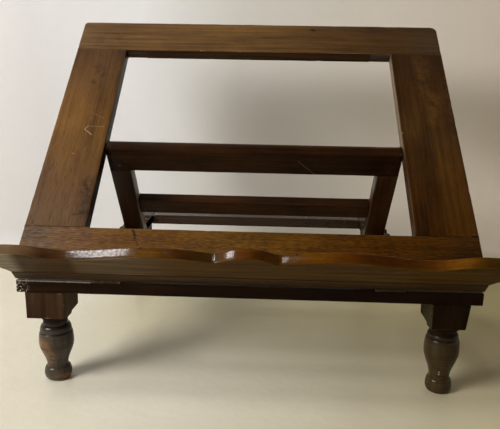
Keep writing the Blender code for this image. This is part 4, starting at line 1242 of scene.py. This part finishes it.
def foot_profile(top, toe, waist, bulb, groove, neck):
    """From the sole to the collar; each part is (radius, height)."""
    cut = (groove[0] - GROOVE_DEPTH, groove[1])
    lip = (groove[0], groove[1] - GROOVE_DEPTH)
    bead = (groove[0] - BEAD_STEP, groove[1] + GROOVE_DEPTH)
    collar = top - COLLAR_HEIGHT
    profile = [(SOLE, 0.0)] + swell((SOLE, 0.0), toe, 10)
    profile += swell(toe, (waist[0], waist[1] - WAIST_FLAT), 10) + [waist]
    profile += ogee(waist, bulb, 26) + swell(bulb, lip, 12) + [cut, bead]
    profile += swell(bead, neck, 10) + [(neck[0], collar - COVE_HEIGHT)]
    profile += ogee((neck[0], collar - COVE_HEIGHT), (COLLAR - COLLAR_ROUND, collar), 8)
    profile += swell((COLLAR - COLLAR_ROUND, collar), (COLLAR, collar + COLLAR_ROUND), 5)
    return profile + [(COLLAR, top)]


def profile_mesh(profile):
    """The profile as a line of edges, with wear where it bulges most."""
    widest = max(radius for radius, _ in profile)
    mesh = bpy.data.meshes.new("profile")
    mesh.from_pydata([(radius, 0.0, height) for radius, height in profile],
                     [(i, i + 1) for i in range(len(profile) - 1)], [])
    wear = mesh.attributes.new("arris", "FLOAT", "POINT")
    wear.data.foreach_set("value", [max(0.0, radius / widest - 0.6) for radius, _ in profile])
    return mesh


profiles = {side: foot_profile(block_low.z - SEAT, **parts) for side, parts in TURNED.items()}
print("profiles of", [len(profile) for profile in profiles.values()], "points")

# %% The lathe as a tree
def new_tree(name, inputs):
    """A Geometry Nodes tree with named inputs, each (socket type, default), and its wires by name."""
    tree = bpy.data.node_groups.new(name, "GeometryNodeTree")
    tree.interface.new_socket("Geometry", in_out="INPUT", socket_type="NodeSocketGeometry")
    for label, (kind, default) in inputs.items():
        socket = tree.interface.new_socket(label, in_out="INPUT", socket_type=kind)
        if default is not None:
            socket.default_value = default
    tree.interface.new_socket("Geometry", in_out="OUTPUT", socket_type="NodeSocketGeometry")
    opening = tree.nodes.new("NodeGroupInput")
    return tree, {socket.name: Wire(tree, socket) for socket in opening.outputs if socket.name}


def set_in_places(points, shape, seed):
    """Copies of a shape on points, turned to face as each point says, twisted at random about that way."""
    facing, size = [points.node("GeometryNodeInputNamedAttribute", {"data_type": kind}, {"Name": name})
                    for kind, name in (("FLOAT_VECTOR", "facing"), ("FLOAT", "size"))]
    angle = points.node("FunctionNodeRandomValue", {"data_type": "FLOAT"},
                        {2: 0.0, 3: math.tau, "Seed": seed}, 1)
    aimed = points.node("FunctionNodeAlignRotationToVector", {"axis": "Z"}, {"Vector": facing})
    twist = points.node("FunctionNodeAxisAngleToRotation", None, {"Axis": (0, 0, 1), "Angle": angle})
    turned_to = points.node("FunctionNodeRotateRotation", {"rotation_space": "LOCAL"},
                            {"Rotation": aimed, "Rotate By": twist})
    return points.then("InstanceOnPoints", Instance=shape, Rotation=turned_to, Scale=size)


def close_tree(geometry, material):
    """Realizes the instances, sets the material, and sends the result out of the tree."""
    coated = geometry.then("RealizeInstances").then("SetMaterial", Material=material)
    coated.node("NodeGroupOutput", None, {0: coated})


def turning_tree():
    tree, wire = new_tree("turning", {"Places": ("NodeSocketObject", None), "Sides": ("NodeSocketInt", 64),
                                      "Seed": ("NodeSocketInt", 3), "Finish": ("NodeSocketMaterial", None)})
    profile = wire["Geometry"]
    spot = profile.node("GeometryNodeInputPosition")
    axis = spot.node("ShaderNodeCombineXYZ", None, {"Z": spot.part("Z")})
    curve = profile.then("MeshToCurve").then("SetCurveRadius", Radius=spot.part("X"))
    curve = curve.then("SetPosition", Position=axis)
    circle = curve.node("GeometryNodeCurvePrimitiveCircle", None,
                        {"Resolution": wire["Sides"], "Radius": 1.0})
    radius = curve.node("GeometryNodeInputRadius")
    shape = curve.then("CurveToMesh", Profile_Curve=circle, Scale=radius, Fill_Caps=True)
    places = wire["Places"].then("ObjectInfo", "Geometry")
    close_tree(set_in_places(places, shape, wire["Seed"]), wire["Finish"])
    return tree


TURNING = turning_tree()
print("the turning tree has", len(TURNING.nodes), "nodes")

# %% Run a tree and keep its mesh
def place_mesh(places):
    """A mesh of loose points, each (spot, facing, size)."""
    mesh = bpy.data.meshes.new("places")
    mesh.from_pydata([spot for spot, _, _ in places], [], [])
    facing = mesh.attributes.new("facing", "FLOAT_VECTOR", "POINT")
    facing.data.foreach_set("vector", [value for _, way, _ in places for value in way])
    size = mesh.attributes.new("size", "FLOAT", "POINT")
    size.data.foreach_set("value", [share for _, _, share in places])
    return mesh


def grown(tree, mesh, **values):
    """Runs a tree on a mesh with its inputs set, and returns the result as a plain mesh."""
    stem = linked("stem", mesh)
    modifier = stem.modifiers.new("grow", "NODES")
    modifier.node_group = tree
    for item in tree.interface.items_tree:
        if item.in_out == "INPUT" and item.name in values:
            modifier[item.identifier] = values[item.name]
    return smoothed(plain_mesh(stem))


def lathed(profile, places, finish, **values):
    """A profile turned and set in its places, as a plain mesh."""
    spots = linked("spots", place_mesh(places))
    mesh = grown(TURNING, profile_mesh(profile), Places=spots, Finish=finish, **values)
    bpy.data.objects.remove(spots)
    return mesh


print("a foot gets", TURNING.interface.items_tree["Sides"].default_value, "sides")

# %% Four feet and their worn polish
WORN_SPOT, WORN_REACH = (-0.2130, -0.1330, 0.0320), (0.017, 0.007)
TOE_WEAR = (0.010, 0.005)
PAINTED_SHADE_UNDER_BLOCK = (0.050, 0.066)
UNPOLISHED = (0.062, 0.068)
WORN = (0.19, 0.088, 0.026)
WAX_AND_HIGHLIGHT = (0.50, 0.46, 0.40)
DRIP = (0.20415, -0.1179, 0.0215)
DRIP_FACING = (-0.297, -0.955)
DRIP_HALF_LENGTH, DRIP_HALF_WIDTH = (0.0055, 0.0065), (0.0010, 0.0004)
BEADS_PER_METRE = 420.0
# The left foot's tones are greyer than the right's, partly a painted sheen.
FOOT_TONES = {"left": ((0.008, 0.006, 0.004), (0.043, 0.031, 0.021), (0.128, 0.088, 0.057)),
              "right": ((0.016, 0.009, 0.0025), (0.046, 0.027, 0.0080), (0.095, 0.058, 0.019))}
FOOT_RUBBED = (0.13, 0.064, 0.026)
FOOT_COAT = {"left": 0.5, "right": 0.25}


def away_from_drip(place):
    """How far a place is from a broken dribble of wax down the front of the right foot."""
    x, y, z = [place.part(axis) - at for axis, at in zip("XYZ", DRIP)]
    aside = x * DRIP_FACING[1] - y * DRIP_FACING[0]
    ahead = x * DRIP_FACING[0] + y * DRIP_FACING[1]
    beads = z.node("ShaderNodeTexNoise", {"noise_dimensions": "1D"},
                   {"W": z, "Scale": BEADS_PER_METRE, "Detail": 0.0}, "Fac")
    hidden = abs(z).rise(*DRIP_HALF_LENGTH).most(ahead.rise(0.004, 0.0)).most(beads.rise(0.56, 0.44))
    return abs(aside) + hidden * 0.01


def turned(place, look):
    """A step for walnut(): gouge rings, wear, wax with painted highlights, painted shade under the block."""
    height = place.part("Z")
    rings = place.clouds((25, 25, 520), 3)
    x, y, z = [place.part(axis) - at for axis, at in zip("XYZ", WORN_SPOT)]
    spot = (x ** 2 + y ** 2 + z ** 2 * 0.5) ** 0.5
    patches = place.clouds((90, 90, 120), 4, 0.6)
    left = place.part("X").rise(0.05, -0.05)
    toe = patches.rise(0.45, 0.62) * height.rise(*TOE_WEAR)
    worn = toe.most(spot.rise(*WORN_REACH) * patches.rise(0.32, 0.55))
    unpolished = height.rise(*UNPOLISHED)
    look.lay_colour(worn * left * 0.9, WORN)
    look.lay_colour(rings.rise(0.48, 0.70) * 0.45, DIRT_AND_SHADE)
    # Painted shade at the top of the foot, under the block.
    look.lay_colour(height.rise(*PAINTED_SHADE_UNDER_BLOCK) * 0.75, DIRT_AND_SHADE)
    # Pale dots on a dribble of wax: partly wax, partly painted highlight.
    look.lay_colour(away_from_drip(place).rise(*DRIP_HALF_WIDTH) * 0.8, WAX_AND_HIGHLIGHT)
    look.relief = look.relief * 0.4 + rings * 1.5
    look.gloss += worn * 0.15 + unpolished * 0.3
    look.coat *= 1 - unpolished


for side, profile in profiles.items():
    soles = [(mount["pos_m"], (0, 0, 1), 1.0) for mount in record["mounts"]
             if mount["name"] in (f"sole_front_{side}", f"sole_rear_{side}")]
    walnut_foot = walnut(f"walnut_foot_{side}", UPRIGHT, (16.3, 0.04, 0.01), FOOT_TONES[side], FOOT_RUBBED,
                         0.32, 0.08, FOOT_COAT[side], steps=[turned], streak=0.4, coat_haze=0.22)
    feet = lathed(profile, soles, walnut_foot)
    dress(f"turned_feet_{side}", feet, "base", "walnut_leg", walnut_foot,
          f"foot_front_{side}", f"foot_rear_{side}")

# %% [markdown]
# ## Pegs
# A peg through each upper joint of the strut keeps the tenon in. It is riven and driven, so it is not quite
# flush and shows as a small paler dot. The turning tree makes it too, from a short profile with domed ends.

# %% Two pegs
PEG_PROUD = 0.0003
PEG_SIDES = 14
DOME_STEPS = 4


def peg_profile(radius, length):
    angles = [QUARTER * i / DOME_STEPS for i in range(DOME_STEPS)]
    top = [(radius * math.cos(angle), length + PEG_PROUD * math.sin(angle)) for angle in angles]
    top.append((radius * 0.1, length + PEG_PROUD))
    return [(across, length - along) for across, along in top[::-1]] + top


peg_low, peg_high = extent("strut_peg_right", STRUT_FRAME)
peg_x, peg_y, _ = (peg_low + peg_high) / 2
peg_out = STRUT_FRAME.to_3x3() @ Vector((0, 0, 1))
peg_spots = [(STRUT_FRAME @ Vector((side * peg_x, peg_y, peg_low.z)), peg_out, 1.0) for side in (-1, 1)]
walnut_peg = walnut("walnut_peg", ALONG_STRUT_RAIL, (18.0, 0.0, 0.0),
                    [shaded(tone, 1.6) for tone in STRUT_TONES], STRUT_RUBBED, 0.45)
pegs = lathed(peg_profile((peg_high.x - peg_low.x) / 2, peg_high.z - peg_low.z), peg_spots, walnut_peg,
              Sides=PEG_SIDES)
dress("strut_pegs", pegs, "strut", "walnut_strut", walnut_peg, "strut_peg_left", "strut_peg_right")

# %% [markdown]
# ## Hinges, pins and screws
# Two butt hinges of brass gone brown join base and rest, and steel pins carry the strut. Their shapes in the
# frame are right, so they only get a finish: metal under a patina that breaks through in patches.
# The screws are worth modelling, because a slotted head shows how old the work is. Geometry Nodes
# cuts one slot and sets a head wherever the frame has a screw, each stopped at another angle.

# %% Old metal
def old_metal(name, bright, dull, roughness=0.42):
    material, shader, place = new_material(name)
    patina = place.clouds(160, 4, 0.62).rise(0.30, 0.56)
    specks = place.clouds(1300, 2).rise(0.62, 0.74)
    scuffs = place.clouds((90, 1800, 1800), 2).rise(0.58, 0.72)
    feed(shader, base_color=(specks * 0.7).between(patina.between(bright, dull), DIRT_AND_SHADE),
         metallic=1 - patina * 0.55 - specks * 0.3, roughness=roughness + patina * 0.22 - scuffs * 0.12,
         normal=(patina * 0.4 - specks).bump(0.4, 0.0001))
    return material


FINISHES = {"aged_brass": old_metal("aged_brass", (0.10, 0.064, 0.027), (0.018, 0.010, 0.005)),
            "dark_steel": old_metal("dark_steel", (0.11, 0.10, 0.09), (0.028, 0.022, 0.018))}
for subpart in record["subparts"]:
    finish = FINISHES.get(subpart["material_slot"])
    for slot in frame["nodes"][subpart["node"]].material_slots if finish else ():
        slot.material = finish
print("finished", list(FINISHES))

# %% A tree of slotted heads
HEAD_SIDES = 28
HEAD_RISE = 0.12
HEAD_TOP = 0.86
HEAD_SINK = 0.30
SHANK_END = 0.5
SLOT_LENGTH = 2.4
SLOT_WIDTH = 0.24
SLOT_DEPTH = 0.34
OVERLAP = 0.01


def screw_tree():
    """Heads one unit in radius, scaled by each place's size."""
    tree, wire = new_tree("slotted_heads", {
        "Slot Width": ("NodeSocketFloat", SLOT_WIDTH), "Slot Depth": ("NodeSocketFloat", SLOT_DEPTH),
        "Seed": ("NodeSocketInt", 8), "Finish": ("NodeSocketMaterial", None)})
    places = wire["Geometry"].then("MeshToPoints")
    sunk = HEAD_SINK + SLOT_DEPTH
    head, shank = [places.node("GeometryNodeMeshCone", None, {"Vertices": HEAD_SIDES, "Radius Top": top,
                                                              "Radius Bottom": bottom, "Depth": depth})
                   for top, bottom, depth in ((HEAD_TOP, 1.0, HEAD_RISE), (1.0, SHANK_END, sunk))]
    shank = shank.then("Transform", Translation=(0, 0, OVERLAP - sunk))
    both = head.node("GeometryNodeMeshBoolean", {"operation": "UNION"}, {"Mesh 2": head})
    plug(both.socket.node.inputs["Mesh 2"], shank)
    size = both.node("ShaderNodeCombineXYZ", None, {"X": SLOT_LENGTH, "Y": wire["Slot Width"],
                                                    "Z": wire["Slot Depth"] * 2})
    bar = both.node("GeometryNodeMeshCube", None, {"Size": size})
    bar = bar.then("Transform", Translation=(0, 0, HEAD_RISE))
    slotted = both.node("GeometryNodeMeshBoolean", {"operation": "DIFFERENCE"},
                        {"Mesh 1": both, "Mesh 2": bar})
    close_tree(set_in_places(places, slotted, wire["Seed"]), wire["Finish"])
    return tree


def screw_places(nodes, place, facing):
    """Where the heads of some screws lie: at the end that faces out of their board."""
    spots = []
    for node in nodes:
        low, high = extent(node, place)
        end = high.z if facing.z > 0 else low.z
        spot = place @ Vector(((low.x + high.x) / 2, (low.y + high.y) / 2, end))
        spots.append((spot, place.to_3x3() @ facing, (high.x - low.x) / 2))
    return spots


SCREWS = screw_tree()
UP, DOWN = Vector((0, 0, 1)), Vector((0, 0, -1))
for name, start, place, facing, body, slot, seed in (
        ("base_hinge_screws", "hinge_base_screw", BASE_FRAME, UP, "base", "aged_brass", 8),
        ("rest_hinge_screws", "hinge_rest_screw", REST_FRAME, DOWN, "book_rest", "aged_brass", 9),
        ("ledge_screws", "ledge_screw", REST_FRAME, DOWN, "book_rest", "dark_steel", 10)):
    nodes = [node for node in frame["nodes"] if node.startswith(start)]
    heads = grown(SCREWS, place_mesh(screw_places(nodes, place, facing)), Seed=seed, Finish=FINISHES[slot])
    dress(name, heads, body, slot, FINISHES[slot], *nodes)

# %% [markdown]
# ## Sizes and finish
# The dressed lectern should fill the same box as the packed one, so both boxes are measured and the growth is
# printed.

# %% Measure the growth
visual_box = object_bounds()
growth = [[round((v - c) * 1000, 2) for c, v in zip(a, b)] for a, b in zip(cad_box, visual_box)]
print("grown by", growth, "mm")
